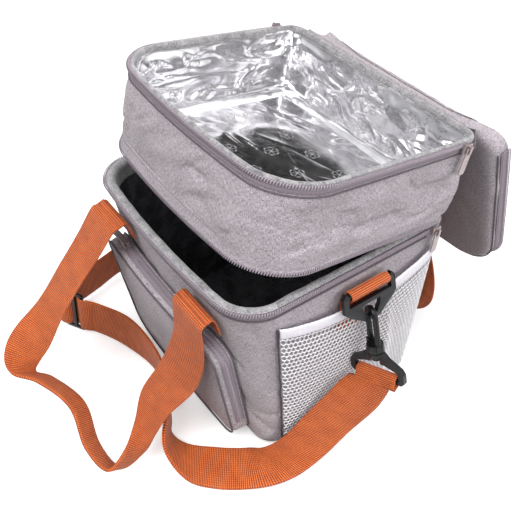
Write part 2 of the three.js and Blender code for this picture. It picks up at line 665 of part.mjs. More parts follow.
const fy = PIVOT_F.y;
add('handle_front', ribbon([
  { p: [-68, fy, PIVOT_F.z - 0.6], w: [1, 0, 0], thick: 1.1 },
  { p: [-68, fy - 2.6, PIVOT_F.z - 1.6], w: [1, 0, 0] },
  { p: [-69, -144, 186], w: [1, 0, 0] },
  { p: [-70, -160, 165], w: [0.98, 0, 0.05] },
  { p: [-69, -182, 142], w: [0.97, 0, 0.1] },
  { p: [-66, -213, 109], w: [0.95, 0, 0.25] },
  { p: [-61, -245, 80], w: [0.75, 0.4, -0.3], width: 36 },
  { p: [-52, -252, 66], w: [0.3, 0.85, 0.4], width: 26, thick: 3 },
  { p: [-36, -238, 60], w: [0.2, 0.95, 0.2], width: 21, thick: 3.4 },
  { p: [4, -226, 58], w: [0.3, 0.9, 0.3], width: 21, thick: 3.4 },
  { p: [34, -230, 32], w: [0.1, 0.9, 0.3], width: 21, thick: 3.4 },
  { p: [56, -222, 14], w: [0, 0.7, -0.7], width: 21, thick: 3.4 },
  { p: [58, -200, 28], w: [0.5, 0.6, -0.6], width: 21, thick: 3.4 },
  { p: [52, -184, 44], w: [0.9, 0.3, -0.3], width: 21, thick: 3.4 },
  { p: [49, -170, 68], w: [0.95, 0.1, -0.2], width: 34, thick: 2 },
  { p: [57, -151, 98], w: [0.95, 0.2, -0.1] },
  { p: [63, -143, 126], w: [0.98, 0.15, -0.1] },
  { p: [67, -140.5, 152], w: [1, 0.05, 0] },
  { p: [68, -141, 175], w: [1, 0.02, 0] },
  { p: [68, -141, 185], w: [1, 0, 0] },
  { p: [68, fy - 2.6, PIVOT_F.z - 1.6], w: [1, 0, 0] },
  { p: [68, fy, PIVOT_F.z - 0.6], w: [1, 0, 0], thick: 1.1 },
], 2), ORANGE);

add('handle_back', ribbon([
  { p: [52, PIVOT_B.y + 0.6, PIVOT_B.z - 0.48], w: [1, 0, 0] },
  { p: [53, PIVOT_B.y + 2.85, PIVOT_B.z + 1.2], w: [1, 0, 0] },
  { p: [57, 104.6, 170], w: [1, 0, 0.05] },
  { p: [66, 108, 154], w: [0.9, 0, 0.42] },
  { p: [82, 110, 130], w: [0.87, 0, 0.45] },
  { p: [95, 111, 102], w: [0.97, 0, 0.2], width: 38 },
  { p: [95, 111.6, 76], w: [0.9, 0.2, -0.35], width: 30, thick: 2 },
  { p: [76, 112, 54], w: [0.5, 0.4, -0.75], width: 21, thick: 3.4 },
  { p: [40, 113, 42], w: [0.15, 0.4, -0.9], width: 21, thick: 3.4 },
  { p: [0, 113.5, 40], w: [0, 0.4, -0.9], width: 21, thick: 3.4 },
  { p: [-38, 113, 50], w: [-0.3, 0.35, -0.88], width: 21, thick: 3.4 },
  { p: [-60, 112, 72], w: [-0.75, 0.2, -0.6], width: 30, thick: 2 },
  { p: [-68, 111, 100], w: [-0.97, 0, -0.2], width: 38 },
  { p: [-66, 109, 132], w: [-1, 0, 0.05] },
  { p: [-59, 106.6, 158], w: [-1, 0, 0.15] },
  { p: [-55, 104.6, 170], w: [-1, 0, 0] },
  { p: [-53, PIVOT_B.y + 2.85, PIVOT_B.z + 1.2], w: [-1, 0, 0] },
  { p: [-52, PIVOT_B.y + 0.6, PIVOT_B.z - 0.48], w: [-1, 0, 0] },
], 2), ORANGE);

// Ring, snap hook and strap end on each side, drawn for the right side

const BAR = { x: HALF_W + 10.2, y: -5, z: HEM_ENDS + 3 };
const HANG = 20 * deg;

function keeper() {
  // A webbing loop round the ring's bar, its two layers sewn flat to the wall below.
  const r = 3.4;
  const t = 1.5;
  const R = r + t;
  const wall = (z) => sideX(BAR.y, z) + 0.45;
  const cx = BAR.x;
  const cz = BAR.z;
  const out = [
    [wall(cz - 47), cz - 47], [wall(cz - 47) + 2 * t, cz - 47], [wall(cz - 9) + 2 * t, cz - 8.2],
    ...arcPoints(cx, cz, R, -62, 150, 9), [wall(cz - 1), cz - 3],
  ];
  const hole = arcPoints(cx, cz, r, 0, 360, 14).slice(0, 14);
  return { out, hole };
}
const side3 = (tag) => (tag === 'right' ? 1 : -1);
const mirror = (geo, s) => {
  if (s < 0) geo.applyMatrix4(new THREE.Matrix4().makeScale(-1, 1, 1));
  return solid(Array.from(geo.attributes.position.array), Array.from(geo.index.array));
};

const toXZ = (y0) => new THREE.Matrix4().set(1, 0, 0, 0, 0, 0, -1, y0, 0, 1, 0, 0, 0, 0, 0, 1);

// The ring is drawn hanging in a plane: first number along the bag's depth, second down from the bar.
function ringGeo() {
  const bar = 2.8;
  const body = plate([
    [-25, 4], [-28, 0], [-28, -14], [-24, -18], [-11, -27], [-8, -29.5], [8, -29.5], [11, -27], [24, -18],
    [28, -14], [28, 0], [25, 4],
  ], 4.4, [
    [[-23, 2.6], [23, 2.6], [23, -9.5], [-23, -9.5]],
    [[-10, -13.2], [10, -13.2], [9, -19], [5, -25.3], [-5, -25.3], [-9, -19]],
  ]);
  body.translate(0, 0, -2.2);
  const slim = cut(body, box(-24, 24, 2.6, 9, -9, 9));
  const rod = finish(new THREE.CylinderGeometry(bar, bar, 50, 10));
  rod.rotateZ(Math.PI / 2);
  const geo = join(slim, rod);
  // first number along Y, second up the ring, third out of the wall
  const m = new THREE.Matrix4().set(0, 0, 1, 0, 1, 0, 0, 0, 0, 1, 0, 0, 0, 0, 0, 1);
  geo.applyMatrix4(m);
  geo.applyMatrix4(new THREE.Matrix4().makeRotationY(-HANG));
  geo.applyMatrix4(new THREE.Matrix4().makeTranslation(BAR.x, BAR.y, BAR.z));
  return geo;
}

// Hook frame: origin on the swivel axis at the underside of the collar, z up the shank.
const SHANK = 36;
const HANGS = 27.4 + SHANK;
const hookM = new THREE.Matrix4()
  .makeTranslation(BAR.x + HANGS * Math.sin(HANG), BAR.y, BAR.z - HANGS * Math.cos(HANG))
  .multiply(new THREE.Matrix4().makeRotationY(-HANG))
  .multiply(new THREE.Matrix4().makeRotationZ(-16 * deg));
const baseM = new THREE.Matrix4()
  .makeTranslation(BAR.x + HANGS * Math.sin(HANG), BAR.y, BAR.z - HANGS * Math.cos(HANG))
  .multiply(new THREE.Matrix4().makeRotationY(-HANG))
  .multiply(new THREE.Matrix4().makeRotationZ(12 * deg));

function tube(points, r, seg = 10) {
  const n = points.length;
  const P = points.map(V);
  const frames = [];
  let ref = new THREE.Vector3(0, 1, 0);
  for (let i = 0; i < n; i += 1) {
    const t = P[Math.min(n - 1, i + 1)].clone().sub(P[Math.max(0, i - 1)]).normalize();
    ref = ref.clone().sub(t.clone().multiplyScalar(ref.dot(t))).normalize();
    frames.push({ a: ref.clone(), b: new THREE.Vector3().crossVectors(t, ref) });
  }
  const section = [];
  for (let k = 0; k < seg; k += 1) section.push([Math.cos((2 * Math.PI * k) / seg), Math.sin((2 * Math.PI * k) / seg)]);
  return sweep(n, section, (i, [c, s]) => {
    const q = P[i].clone().addScaledVector(frames[i].a, c * r(i)).addScaledVector(frames[i].b, s * r(i));
    return [q.x, q.y, q.z];
  }, false);
}

function hookGeo() {
  const bend = arcPoints(0, SHANK, 6.6, 0, 180, 7).map(([x, z]) => [x, 0, z]);
  const path = [[6.6, 0, 3], [6.6, 0, 20], ...bend, [-6.6, 0, SHANK - 4]];
  const rod = tube(path, () => 2.7, 8);
  const collar = finish(new THREE.CylinderGeometry(7.4, 8.2, 7, 14));
  collar.rotateX(Math.PI / 2);
  collar.translate(0, 0, 4);
  const shoulder = box(-10.5, 9.6, -3, 3, 2, 9);
  const stem = finish(new THREE.CylinderGeometry(2.4, 2.4, 8.5, 10));
  stem.rotateX(Math.PI / 2);
  stem.translate(0, 0, -3.4);
  const knob = finish(new THREE.CylinderGeometry(4.4, 4.4, 2.2, 10));
  knob.rotateX(Math.PI / 2);
  knob.translate(0, 0, -8.1);
  return join(rod, collar, shoulder, stem, knob);
}
function gateGeo() {
  const lever = plate([[-10.2, 10.2], [-5, 10.2], [-5.2, SHANK - 4.4], [-8.4, SHANK - 4.4]], 4);
  lever.applyMatrix4(toXZ(2));
  return lever;
}
function baseGeo() {
  const top = finish(new THREE.CylinderGeometry(7.8, 7.8, 4.2, 14));
  top.rotateX(Math.PI / 2);
  top.translate(0, 0, -2.5);
  const frame = plate([
    [-8, -0.6], [8, -0.6], [13, -6], [25, -13], [27.5, -17], [27.5, -26], [24.5, -28.5], [-24.5, -28.5],
    [-27.5, -26], [-27.5, -17], [-25, -13], [-13, -6],
  ], 5, [
    [[-9, -12.2], [9, -12.2], [22.2, -16.4], [22.2, -23.4], [-22.2, -23.4], [-22.2, -16.4]],
  ]);
  frame.translate(0, 0, -2.5);
  frame.rotateX(Math.PI / 2);
  const bore = finish(new THREE.CylinderGeometry(2.75, 2.75, 12, 12));
  bore.rotateX(Math.PI / 2);
  bore.translate(0, 0, -3);
  const pocket = box(-4.9, 4.9, -4.9, 4.9, -12.9, -6.6);
  return cut(join(top, frame), bore, pocket);
}

for (const tag of ['right', 'left']) {
  const s = side3(tag);
  const k = keeper();
  const kg = plate(k.out, WEB, [k.hole]);
  kg.applyMatrix4(toXZ(BAR.y + WEB / 2));
  add(`keeper_${tag}`, mirror(kg, s), ORANGE);
  add(`ring_${tag}`, mirror(ringGeo(), s), BLACK);
  add(`hook_${tag}`, mirror(hookGeo().applyMatrix4(hookM), s), BLACK);
  add(`hook_gate_${tag}`, mirror(gateGeo().applyMatrix4(hookM), s), BLACK);
  add(`hook_base_${tag}`, mirror(baseGeo().applyMatrix4(baseM), s), BLACK);
}

// Shoulder strap: from the left hook to the slider, doubled from there round the front
// along the floor to the right hook's bar and back to the slider.

// Slider frame: first axis along the strap towards the left, second up, third out to the front
const sliderAlong = V([-0.86, -0.51, 0]).normalize();
const sliderUp = V([0.1, 0.2, 0.97]).addScaledVector(sliderAlong, -V([0.1, 0.2, 0.97]).dot(sliderAlong)).normalize();
const sliderOut = new THREE.Vector3().crossVectors(sliderAlong, sliderUp);
const sliderM = new THREE.Matrix4().makeTranslation(-132, -169, 26.4)
  .multiply(new THREE.Matrix4().makeBasis(sliderAlong, sliderUp, sliderOut));
const SLIDER_HALF = 12;
const threaded = (along, out, thick) => ({
  p: V([along, 0, out]).applyMatrix4(sliderM).toArray(), w: sliderUp.toArray(), thick,
});
const SLIDER = { in: threaded(-SLIDER_HALF - 4, -2.6, 3.2) };

const baseBar = V([0, 0, -26]).applyMatrix4(baseM);
const barDir = V([1, 0, 0]).transformDirection(baseM);
const bx = baseBar.x;
const by = baseBar.y;
const bz = baseBar.z;
const bw = [barDir.x, barDir.y, barDir.z];
const run = [
  { p: [bx - 2, by - 7, bz - 6], w: bw, thick: 3.2 },
  { p: [152, -26, 74], w: [0.82, 0.5, -0.2], thick: 3.2 },
  { p: [146, -46, 48], w: [0.8, 0.55, -0.15], thick: 3.2 },
  { p: [142, -70, 23], w: [0.82, 0.5, -0.1], thick: 3.2 },
  { p: [135, -94, 7.5], w: [0.97, 0.1, 0], thick: 3.2 },
  { p: [122, -118, 3.2], w: [0.87, -0.5, 0], thick: 3.2 },
  { p: [104, -142, 2.6], w: [0.8, -0.6, 0], thick: 3.2 },
  { p: [84, -163, 7.5], w: [0.8, -0.5, 0.2], thick: 3.2 },
  { p: [60, -168, 18], w: [0.6, -0.5, 0.7], thick: 3.2 },
  { p: [36, -152, 24], w: [0.15, -0.1, 1], thick: 3.2 },
  { p: [4, -137, 24], w: [0, 0, 1], thick: 3.2 },
  { p: [-34, -131, 24], w: [0, 0, 1], thick: 3.2 },
  { p: [-76, -138, 24], w: [0.1, 0.2, 0.97], thick: 3.2 },
  { p: [-107, -153, 24], w: [0.1, 0.2, 0.97], thick: 3.2 },
  SLIDER.in,
];

// A short fold of webbing round a base bar, open towards the strap.
function endLoop(c, w, away) {
  const W3 = V(w).normalize();
  const d = V(away).sub(c);
  d.addScaledVector(W3, -d.dot(W3)).normalize();
  const n = new THREE.Vector3().crossVectors(W3, d).normalize();
  const r = 4.4;
  const t = 1.5;
  const inner = arcPoints(0, 0, r, 50, 310, 10);
  const outer = arcPoints(0, 0, r + t, 50, 310, 10).reverse();
  const pts = [[9.5, 0.25], ...inner, [9.5, -0.25], [9.5, -1.6], ...outer, [9.5, 1.6]];
  return sweep(2, pts, (i, [a, b]) => {
    const p = c.clone().addScaledVector(d, a).addScaledVector(n, b).addScaledVector(W3, (i - 0.5) * (WEB - 1));
    return [p.x, p.y, p.z];
  }, false);
}
add('strap_doubled', join(ribbon(run, 2), endLoop(V([bx, by, bz]), bw, run[0].p)), ORANGE);

const leftDir = [-barDir.x, barDir.y, barDir.z];
const single = [
  { p: [2 - bx, by - 7, bz - 6], w: leftDir },
  { p: [-160, -24, 70], w: [-0.8, 0.4, 0.2] },
  { p: [-170, -52, 42], w: [-0.4, 0.2, 0.9] },
  { p: [-176, -88, 28], w: [0, 0.1, 1] },
  { p: [-168, -124, 25], w: [0, 0.1, 1] },
  { p: [-160, -156, 25], w: [0, 0.1, 1] },
  { p: [-154, -176, 25], w: [0, 0.15, 0.98] },
  threaded(SLIDER_HALF + 5, -2.6),
];
const weave = [
  threaded(SLIDER_HALF + 5.2, -2.6), threaded(SLIDER_HALF - 3.2, -2.6), threaded(2.6, 2.7), threaded(-2.6, 2.7),
  threaded(3.2 - SLIDER_HALF, -2.6), threaded(-SLIDER_HALF - 3.6, -2.6),
];
add('strap_single', join(
  ribbon(single, 3), ribbon(weave, 1), endLoop(V([-bx, by, bz]), leftDir, single[0].p),
), ORANGE);

// Three-bar slider that the strap is threaded through
function slider3() {
  const slot = (x0, x1) => [[x0, -21.6], [x1, -21.6], [x1, 21.6], [x0, 21.6]];
  const g = plate([
    [-SLIDER_HALF, -23], [-SLIDER_HALF + 2, -25], [SLIDER_HALF - 2, -25], [SLIDER_HALF, -23],
    [SLIDER_HALF, 23], [SLIDER_HALF - 2, 25], [2 - SLIDER_HALF, 25], [-SLIDER_HALF, 23],
  ], 3, [slot(3 - SLIDER_HALF, -1.8), slot(1.8, SLIDER_HALF - 3)]);
  g.translate(0, 0, -1.5);
  return g;
}
add('strap_slider', slider3().applyMatrix4(sliderM), BLACK);

// Zip sliders with their pull tabs: travel runs along the zip, out points away from the bag

function zipSlider(turned) {
  const body = finish(new THREE.BoxGeometry(9, 7.5, 2.4));
  const arch = cut(
    finish(new THREE.BoxGeometry(2.4, 6.4, 3.4).translate(0, 0, 2.7)),
    finish(new THREE.BoxGeometry(4, 3.6, 2.1).translate(0, 0, 2.2)),
  );
  if (turned) arch.rotateZ(-90 * deg);
  return join(body, arch);
}
function pullTab() {
  const outer = [[-3.1, 0.9], [3.1, 0.9], [3.1, -5], [3.4, -21], [2.2, -23], [-2.2, -23], [-3.4, -21], [-3.1, -5]];
  const hole = [[-1.9, -0.7], [1.9, -0.7], [1.9, -4.4], [-1.9, -4.4]];
  const g = plate(outer, 1.1, [hole]);
  g.translate(0, 0, -0.55);
  return g;
}
// x: travel, y: up, z: out, then the body's middle
const frameAt = (travel, upv, outv, at) => new THREE.Matrix4().makeTranslation(...at)
  .multiply(new THREE.Matrix4().makeBasis(V(travel), V(upv), V(outv)));
const PULL = new THREE.Matrix4().makeTranslation(0, 0.2, 2.35);

function zipPair(name, frame) {
  add(`${name}_slider`, zipSlider(false).applyMatrix4(frame), STEEL);
  add(`${name}_pull`, pullTab().applyMatrix4(frame.clone().multiply(PULL)), STEEL);
}
const ZIP_OUT = 2.9;
const RIDE = 1.6;
const LOWER_STOP = 75;
const TOP_STOP = 74;
const lowX = HALF_W + ZIP_OUT + RIDE;
const lowOut = (s) => frameAt([0, s, 0], [0, 0, 1], [s, 0, 0], [s * lowX, LOWER_STOP, H - 2.4]);
zipPair('lower_zip_right', lowOut(1));
zipPair('lower_zip_left', lowOut(-1));
const topX = HALF_W + SIDE_FULL + ZIP_OUT + RIDE;
const topOut = (s) => trayLift.clone()
  .multiply(frameAt([0, s, 0], [0, 0, 1], [s, 0, 0], [s * topX, TOP_STOP, T - 2.4]));
zipPair('top_zip_right', topOut(1));
zipPair('top_zip_left', topOut(-1));

// The pocket's pull lies back along its zip, so its eye and the arch are turned a quarter
const pz = POCKET.z1 + 3.9;
const POCKET_SLIDER_X = -62;
const pocketFrame = frameAt(
  [1, 0, 0], [0, 1, 0], [0, 0, 1], [POCKET_SLIDER_X, wallY(POCKET_SLIDER_X, pz) - 7.8, pz],
);
const LIES = 6 * deg;
const pocketPull = pocketFrame.clone().multiply(new THREE.Matrix4().makeRotationZ(-90 * deg)).multiply(PULL)
  .multiply(new THREE.Matrix4().makeRotationX(LIES));
add('pocket_zip_slider', zipSlider(true).applyMatrix4(pocketFrame), STEEL);
add('pocket_zip_pull', pullTab().applyMatrix4(pocketPull), STEEL);

export default bag;
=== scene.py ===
"""Looks of an insulated cooler bag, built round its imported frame.

Shapes are worked out in millimetres and become metres where a mesh is made. Surface coordinates are in
centimetres.
"""
import math

import bmesh
import bpy
import numpy as np
from mathutils import Matrix, Vector


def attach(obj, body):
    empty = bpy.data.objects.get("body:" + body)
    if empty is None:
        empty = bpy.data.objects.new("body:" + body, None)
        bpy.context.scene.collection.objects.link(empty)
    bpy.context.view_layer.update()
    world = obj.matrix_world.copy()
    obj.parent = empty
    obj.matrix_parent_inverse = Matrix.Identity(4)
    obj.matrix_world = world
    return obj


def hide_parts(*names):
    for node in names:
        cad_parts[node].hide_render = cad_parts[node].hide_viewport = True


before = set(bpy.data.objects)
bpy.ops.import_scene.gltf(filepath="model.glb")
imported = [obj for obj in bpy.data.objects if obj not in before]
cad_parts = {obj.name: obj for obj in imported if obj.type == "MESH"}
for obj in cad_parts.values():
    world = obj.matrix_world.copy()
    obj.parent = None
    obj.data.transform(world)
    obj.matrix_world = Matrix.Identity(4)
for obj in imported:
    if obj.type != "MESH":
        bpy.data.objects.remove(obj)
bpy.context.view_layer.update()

# Lower box: a tub of melange polyester canvas over foam boards, sewn from panels. It folds softly on
# the slant, is drawn in where the ring's loop is sewn on, and its front leans out and bows.
MM = 0.001


# Smooth noise on arrays of points, from -1 to 1
def cell_noise(p, seed=0):
    cell = np.floor(p).astype(np.int64)
    f = p - cell
    f = f * f * f * (f * (f * 6 - 15) + 10)
    total = np.zeros(p.shape[:-1])
    for dx in (0, 1):
        for dy in (0, 1):
            for dz in (0, 1):
                key = (cell[..., 0] + dx) * 73856093
                key ^= (cell[..., 1] + dy) * 19349663
                key ^= (cell[..., 2] + dz) * 83492791
                key ^= (seed + 1) * 2654435761
                key = ((key ^ (key >> 13)) * 1274126177) & 0xFFFFFFFF
                key = (key ^ (key >> 15)) & 0xFFFF
                wx = f[..., 0] if dx else 1 - f[..., 0]
                wy = f[..., 1] if dy else 1 - f[..., 1]
                wz = f[..., 2] if dz else 1 - f[..., 2]
                total += wx * wy * wz * (key / 32767.5 - 1)
    return total


def fractal(p, octaves, seed):
    total = 0
    for k in range(octaves):
        total = total + 0.5**k * cell_noise(p * 2**k, seed + k)
    return total


# Sharp ridges, as in crushed foil
def creases(p, octaves=3, seed=0, gain=0.5):
    total = 0
    for k in range(octaves):
        total = total + gain**k * (1 - 3.2 * np.abs(cell_noise(p * 2**k, seed + k)))
    return total


def stack(*columns):
    return np.stack(np.broadcast_arrays(*[np.asarray(c, float) for c in columns]), axis=-1)


def split(p):
    return p[..., 0], p[..., 1], p[..., 2]


def unit(v):
    return v / np.linalg.norm(v, axis=1)[:, None]


# Distances along a line of points, from 0
def distances(p):
    return np.concatenate([[0], np.cumsum(np.linalg.norm(np.diff(p, axis=0), axis=1))])


# Values at new distances, column by column
def at_distances(t, s, values):
    return np.stack([np.interp(t, s, column) for column in values.T], axis=1)


def flip(obj):
    obj.data.flip_normals()


# A grid of quads laid over P[row, column]. It can be joined to itself across the columns and across the
# rows, and an open tube can be capped; uv holds four corners for each face
def gridded(name, P, uv=None, joined=False, ringed=False, capped=False):
    if joined:
        P = np.concatenate([P, P[:, :1]], axis=1)
    if ringed:
        P = np.concatenate([P, P[:1]])
    rows, cols = P.shape[:2]
    bm = bmesh.new()
    bmesh.ops.create_grid(bm, x_segments=cols - 1, y_segments=rows - 1)
    mesh = bpy.data.meshes.new(name)
    bm.to_mesh(mesh)
    mesh.vertices.foreach_set("co", (np.asarray(P, float) * MM).ravel())
    if uv is not None:
        mesh.uv_layers.new(name="UVMap").data.foreach_set("uv", (np.asarray(uv, float) / 10).ravel())
    bm.clear()
    bm.from_mesh(mesh)
    bm.verts.ensure_lookup_table()
    index = np.arange(rows * cols).reshape(rows, cols)
    twins = {}
    if joined:
        twins.update(zip(index[:, -1], index[:, 0]))
    if ringed:
        twins.update(zip(index[-1, :], index[0, :]))
        twins[index[-1, -1]] = index[0, 0]
    bmesh.ops.weld_verts(bm, targetmap={bm.verts[k]: bm.verts[twin] for k, twin in twins.items()})
    if capped:
        bmesh.ops.holes_fill(bm, edges=bm.edges)
    bm.to_mesh(mesh)
    bm.free()
    mesh.polygons.foreach_set("use_smooth", np.ones(len(mesh.polygons), bool))
    obj = bpy.data.objects.new(name, mesh)
    bpy.context.collection.objects.link(obj)
    return obj


# A sheet of quads over P[row, column]; U is the distance along a row, or a flat plan for the last rows
def sheet(name, P, U=None, closed=False, plan=None):
    if U is None:
        step = np.linalg.norm(np.diff(P, axis=1), axis=-1).mean(axis=0)
        U = np.concatenate([[0], np.cumsum(step)])
        if closed:
            U = np.append(U, U[-1] + np.linalg.norm(P[:, 0] - P[:, -1], axis=-1).mean())
    V = np.concatenate([[0], np.cumsum(np.linalg.norm(np.diff(P, axis=0), axis=-1).mean(axis=1))])
    low, high = V[:-1, None], V[1:, None]
    uv = np.stack([stack(U[:-1], low), stack(U[1:], low), stack(U[1:], high), stack(U[:-1], high)], axis=2)
    if plan is not None:
        flat_rows = len(plan) - 1
        flat = np.concatenate([plan, plan[:, :1]], axis=1)[..., :2]
        uv[-flat_rows:] = np.stack([flat[:-1, :-1], flat[:-1, 1:], flat[1:, 1:], flat[1:, :-1]], axis=2)
    return gridded(name, P, uv, joined=closed)


def solidify(obj, thickness, offset=-1):
    mod = obj.modifiers.new("thickness", "SOLIDIFY")
    mod.thickness = thickness * MM
    mod.offset = offset
    return obj


def shader(name):
    mat = bpy.data.materials.new(name)
    mat.use_nodes = True
    tree = mat.node_tree
    return mat, tree, tree.nodes["Principled BSDF"]


# Sets a node's inputs; an output of another node is linked
def feed(tree, n, inputs):
    for key, value in dict(inputs).items():
        if isinstance(value, bpy.types.NodeSocket):
            tree.links.new(value, n.inputs[key])
        else:
            n.inputs[key].default_value = value


def node(tree, kind, inputs=(), **settings):
    n = tree.nodes.new(kind)
    for key, value in settings.items():
        setattr(n, key, value)
    feed(tree, n, inputs)
    return n


def calc(tree, operation, a, b=0.0, c=0.0):
    return node(tree, "ShaderNodeMath", {0: a, 1: b, 2: c}, operation=operation).outputs[0]


def add(tree, a, b):
    return calc(tree, "ADD", a, b)


def mul(tree, a, b):
    return calc(tree, "MULTIPLY", a, b)


# A sum of outputs, each times its weight
def weighed(tree, *terms):
    total = mul(tree, *terms[0])
    for term in terms[1:]:
        total = add(tree, total, mul(tree, *term))
    return total


def wave(tree, vector, scale, distortion, direction, **more):
    inputs = {"Vector": vector, "Scale": scale, "Distortion": distortion, **more}
    return node(tree, "ShaderNodeTexWave", inputs, bands_direction=direction).outputs["Fac"]


def between(a, b):
    return tuple((p + q) / 2 for p, q in zip(a, b))


def coords(tree, kind, scale=(1, 1, 1), turn=0.0):
    source = tree.nodes.new("ShaderNodeTexCoord").outputs[kind]
    return node(tree, "ShaderNodeMapping", {0: source, "Scale": scale, "Rotation": (0, 0, turn)}).outputs[0]


def speckle(tree, vector, scale, detail=2.0, rough=0.5):
    inputs = {"Vector": vector, "Scale": scale, "Detail": detail, "Roughness": rough}
    return node(tree, "ShaderNodeTexNoise", inputs).outputs["Fac"]


def ramp(tree, fac, *stops):
    n = tree.nodes.new("ShaderNodeValToRGB")
    tree.links.new(fac, n.inputs[0])
    while len(n.color_ramp.elements) < len(stops):
        n.color_ramp.elements.new(0.5)
    for element, (pos, colour) in zip(n.color_ramp.elements, stops):
        element.position = pos
        element.color = (*colour, 1)
    return n.outputs[0]


def bump(tree, height, strength, distance):
    inputs = {"Strength": strength, "Distance": distance * MM, "Height": height}
    return node(tree, "ShaderNodeBump", inputs).outputs[0]


def srgb(r, g, b):
    return tuple((c / 255 / 12.92) if c <= 10 else ((c / 255 + 0.055) / 1.055) ** 2.4 for c in (r, g, b))


# Warm grey melange canvas: light and dark threads run both ways, over slow blotches
def canvas(name, light, dark):
    mat, tree, bsdf = shader(name)
    warp = speckle(tree, coords(tree, "UV", (30, 3.2, 10)), 1.0, 2.0, 0.6)
    weft = speckle(tree, coords(tree, "UV", (3.2, 30, 12)), 1.0, 2.0, 0.6)
    place = coords(tree, "UV")
    cloudy = speckle(tree, place, 0.5, 3.0)
    threads = weighed(tree, (warp, 0.5), (weft, 0.5))
    mixed = add(tree, threads, mul(tree, calc(tree, "SUBTRACT", cloudy, 0.5), 0.08))
    colour = ramp(tree, mixed, (0.4, dark), (0.5, between(light, dark)), (0.6, light))
    fine = wave(tree, place, 4.2, 0.6, "X", Detail=1.0)
    cross = wave(tree, place, 4.2, 0.6, "Y", Detail=1.0)
    height = add(tree, mul(tree, mul(tree, fine, cross), 0.6), threads)
    feed(tree, bsdf, {"Base Color": colour, "Normal": bump(tree, height, 0.8, 0.5), "Roughness": 0.86,
                      "Sheen Weight": 0.18, "Sheen Roughness": 0.5})
    return mat


GREY = canvas("grey_melange", srgb(213, 204, 210), srgb(112, 104, 109))


# Gives a piece its material and body, and hides the CAD nodes it stands for
def dress(obj, material, body, slot, *nodes):
    obj.data.materials.append(material)
    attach(obj, body)
    if nodes:
        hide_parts(*nodes)
    return obj


POINTS = 400


# Even points round a closed line, their outward directions, and the distances up to the whole round
def even_loop(p, n):
    ring = np.vstack([p, p[:1]])
    s = distances(ring)
    t = np.linspace(0, s[-1], n, endpoint=False)
    xy = at_distances(t, s, ring)
    tangent = unit(np.roll(xy, -1, axis=0) - np.roll(xy, 1, axis=0))
    return xy, np.stack([tangent[:, 1], -tangent[:, 0]], axis=1), np.append(t, s[-1])


def quarter(cx, cy, r, start, count, endpoint=True):
    a = np.radians(start + np.linspace(0, 90, count, endpoint=endpoint))
    return np.stack([cx + r * np.cos(a), cy + r * np.sin(a)], axis=1)


# Plan at one height, from the middle of the back round the left side; the front bows and the sides fill out
def outline(hw, yb, yf, rb, rf, bow, full):
    def straight(x0, y0, x1, y1):
        t = np.linspace(0, 1, 60, endpoint=False)
        return np.stack([x0 + (x1 - x0) * t, y0 + (y1 - y0) * t], axis=1)

    def corner(cx, cy, r, start):
        return quarter(cx, cy, r, start, 60, False)

    p = np.concatenate([
        straight(0, yb, rb - hw, yb), corner(rb - hw, yb - rb, rb, 90),
        straight(-hw, yb - rb, -hw, yf + rf), corner(rf - hw, yf + rf, rf, 180),
        straight(rf - hw, yf, hw - rf, yf), corner(hw - rf, yf + rf, rf, 270),
        straight(hw, yf + rf, hw, yb - rb), corner(hw - rb, yb - rb, rb, 0), straight(hw - rb, yb, 0, yb),
    ])
    wx = 1 - (p[:, 0] / hw) ** 2
    wy = 1 - ((p[:, 1] - (yb + yf) / 2) / ((yb - yf) / 2)) ** 2
    p[:, 1] -= np.where(p[:, 1] < 0, bow * wx, 0)
    p[:, 0] += np.sign(p[:, 0]) * full * wy * np.abs(p[:, 0] / hw)
    return even_loop(p, POINTS)


# Rows of points at [offset, height] pairs, with the outward direction and the distance round
def rows_at(plan, pairs):
    P = []
    N = []
    for off, z in pairs:
        xy, normal, s = plan(z)
        P.append(np.column_stack([xy + off * normal, np.full(len(xy), z)]))
        N.append(np.column_stack([normal, np.zeros(len(xy))]))
    return np.array(P), np.array(N), s


H = 206
HALF_W = 117
BASE_FRONT = -91
FRONT_LEAN = 31
BACK = 92


def rise(z):
    return np.clip(z / H, 0, 1)


def lower_plan(z):
    s = float(rise(z))
    return outline(HALF_W, BACK + 2 * s, BASE_FRONT - FRONT_LEAN * s, 14, 20 + 12 * s, 4 + 4 * s,
                   2.5 * math.sin(math.pi * s))


# Closes a cup's bottom: the last ring shrinks towards its middle
def to_centre(last, heights, scales):
    middle = last.mean(axis=0)
    rings = []
    for z, k in zip(heights, scales):
        ring = middle + (last - middle) * k
        ring[:, 2] = z
        rings.append(ring)
    return np.array(rings)


pairs = [(0, z) for z in np.linspace(H, 10, 74)]
pairs += [(-0.4, 7), (-1.2, 4.5), (-2.8, 2.4), (-5, 1.0), (-9, 0.1)]
P, N, around = rows_at(lower_plan, pairs)
x, y, z = split(P)
flat = np.clip((z - 3) / 25, 0, 1) * np.clip((H - 2 - z) / 22, 0, 1)
slant = stack(x / 46 + z / 90, y / 52, z / 74 - x / 160)
folds = -0.9 + 0.95 * fractal(slant, 3, 11)
sharp = np.maximum(0, creases(stack(x / 40 + z / 60, y / 40, z / 95), 2, 5)) ** 2
folds = np.minimum(1.3 * folds - 1.3 * sharp, 0.25) * flat
tuck = np.exp(-((y - 14) / 9) ** 2 - ((z - 194) / 9) ** 2)
folds -= 1.6 * tuck * np.sin((y - 14) / 3.1) ** 2
P = P + N * folds[..., None]
low = to_centre(P[-1], [0.05] * 5, [0.8, 0.55, 0.3, 0.12, 0.01])
P = np.concatenate([P, low])
shell = sheet("lower_shell_canvas", P, around, closed=True)
flip(shell)
dress(solidify(shell, 1.4), GREY, "lower_box", "grey_fabric", "lower_shell", "lower_foam",
      "lower_floor_foam", "base_board")

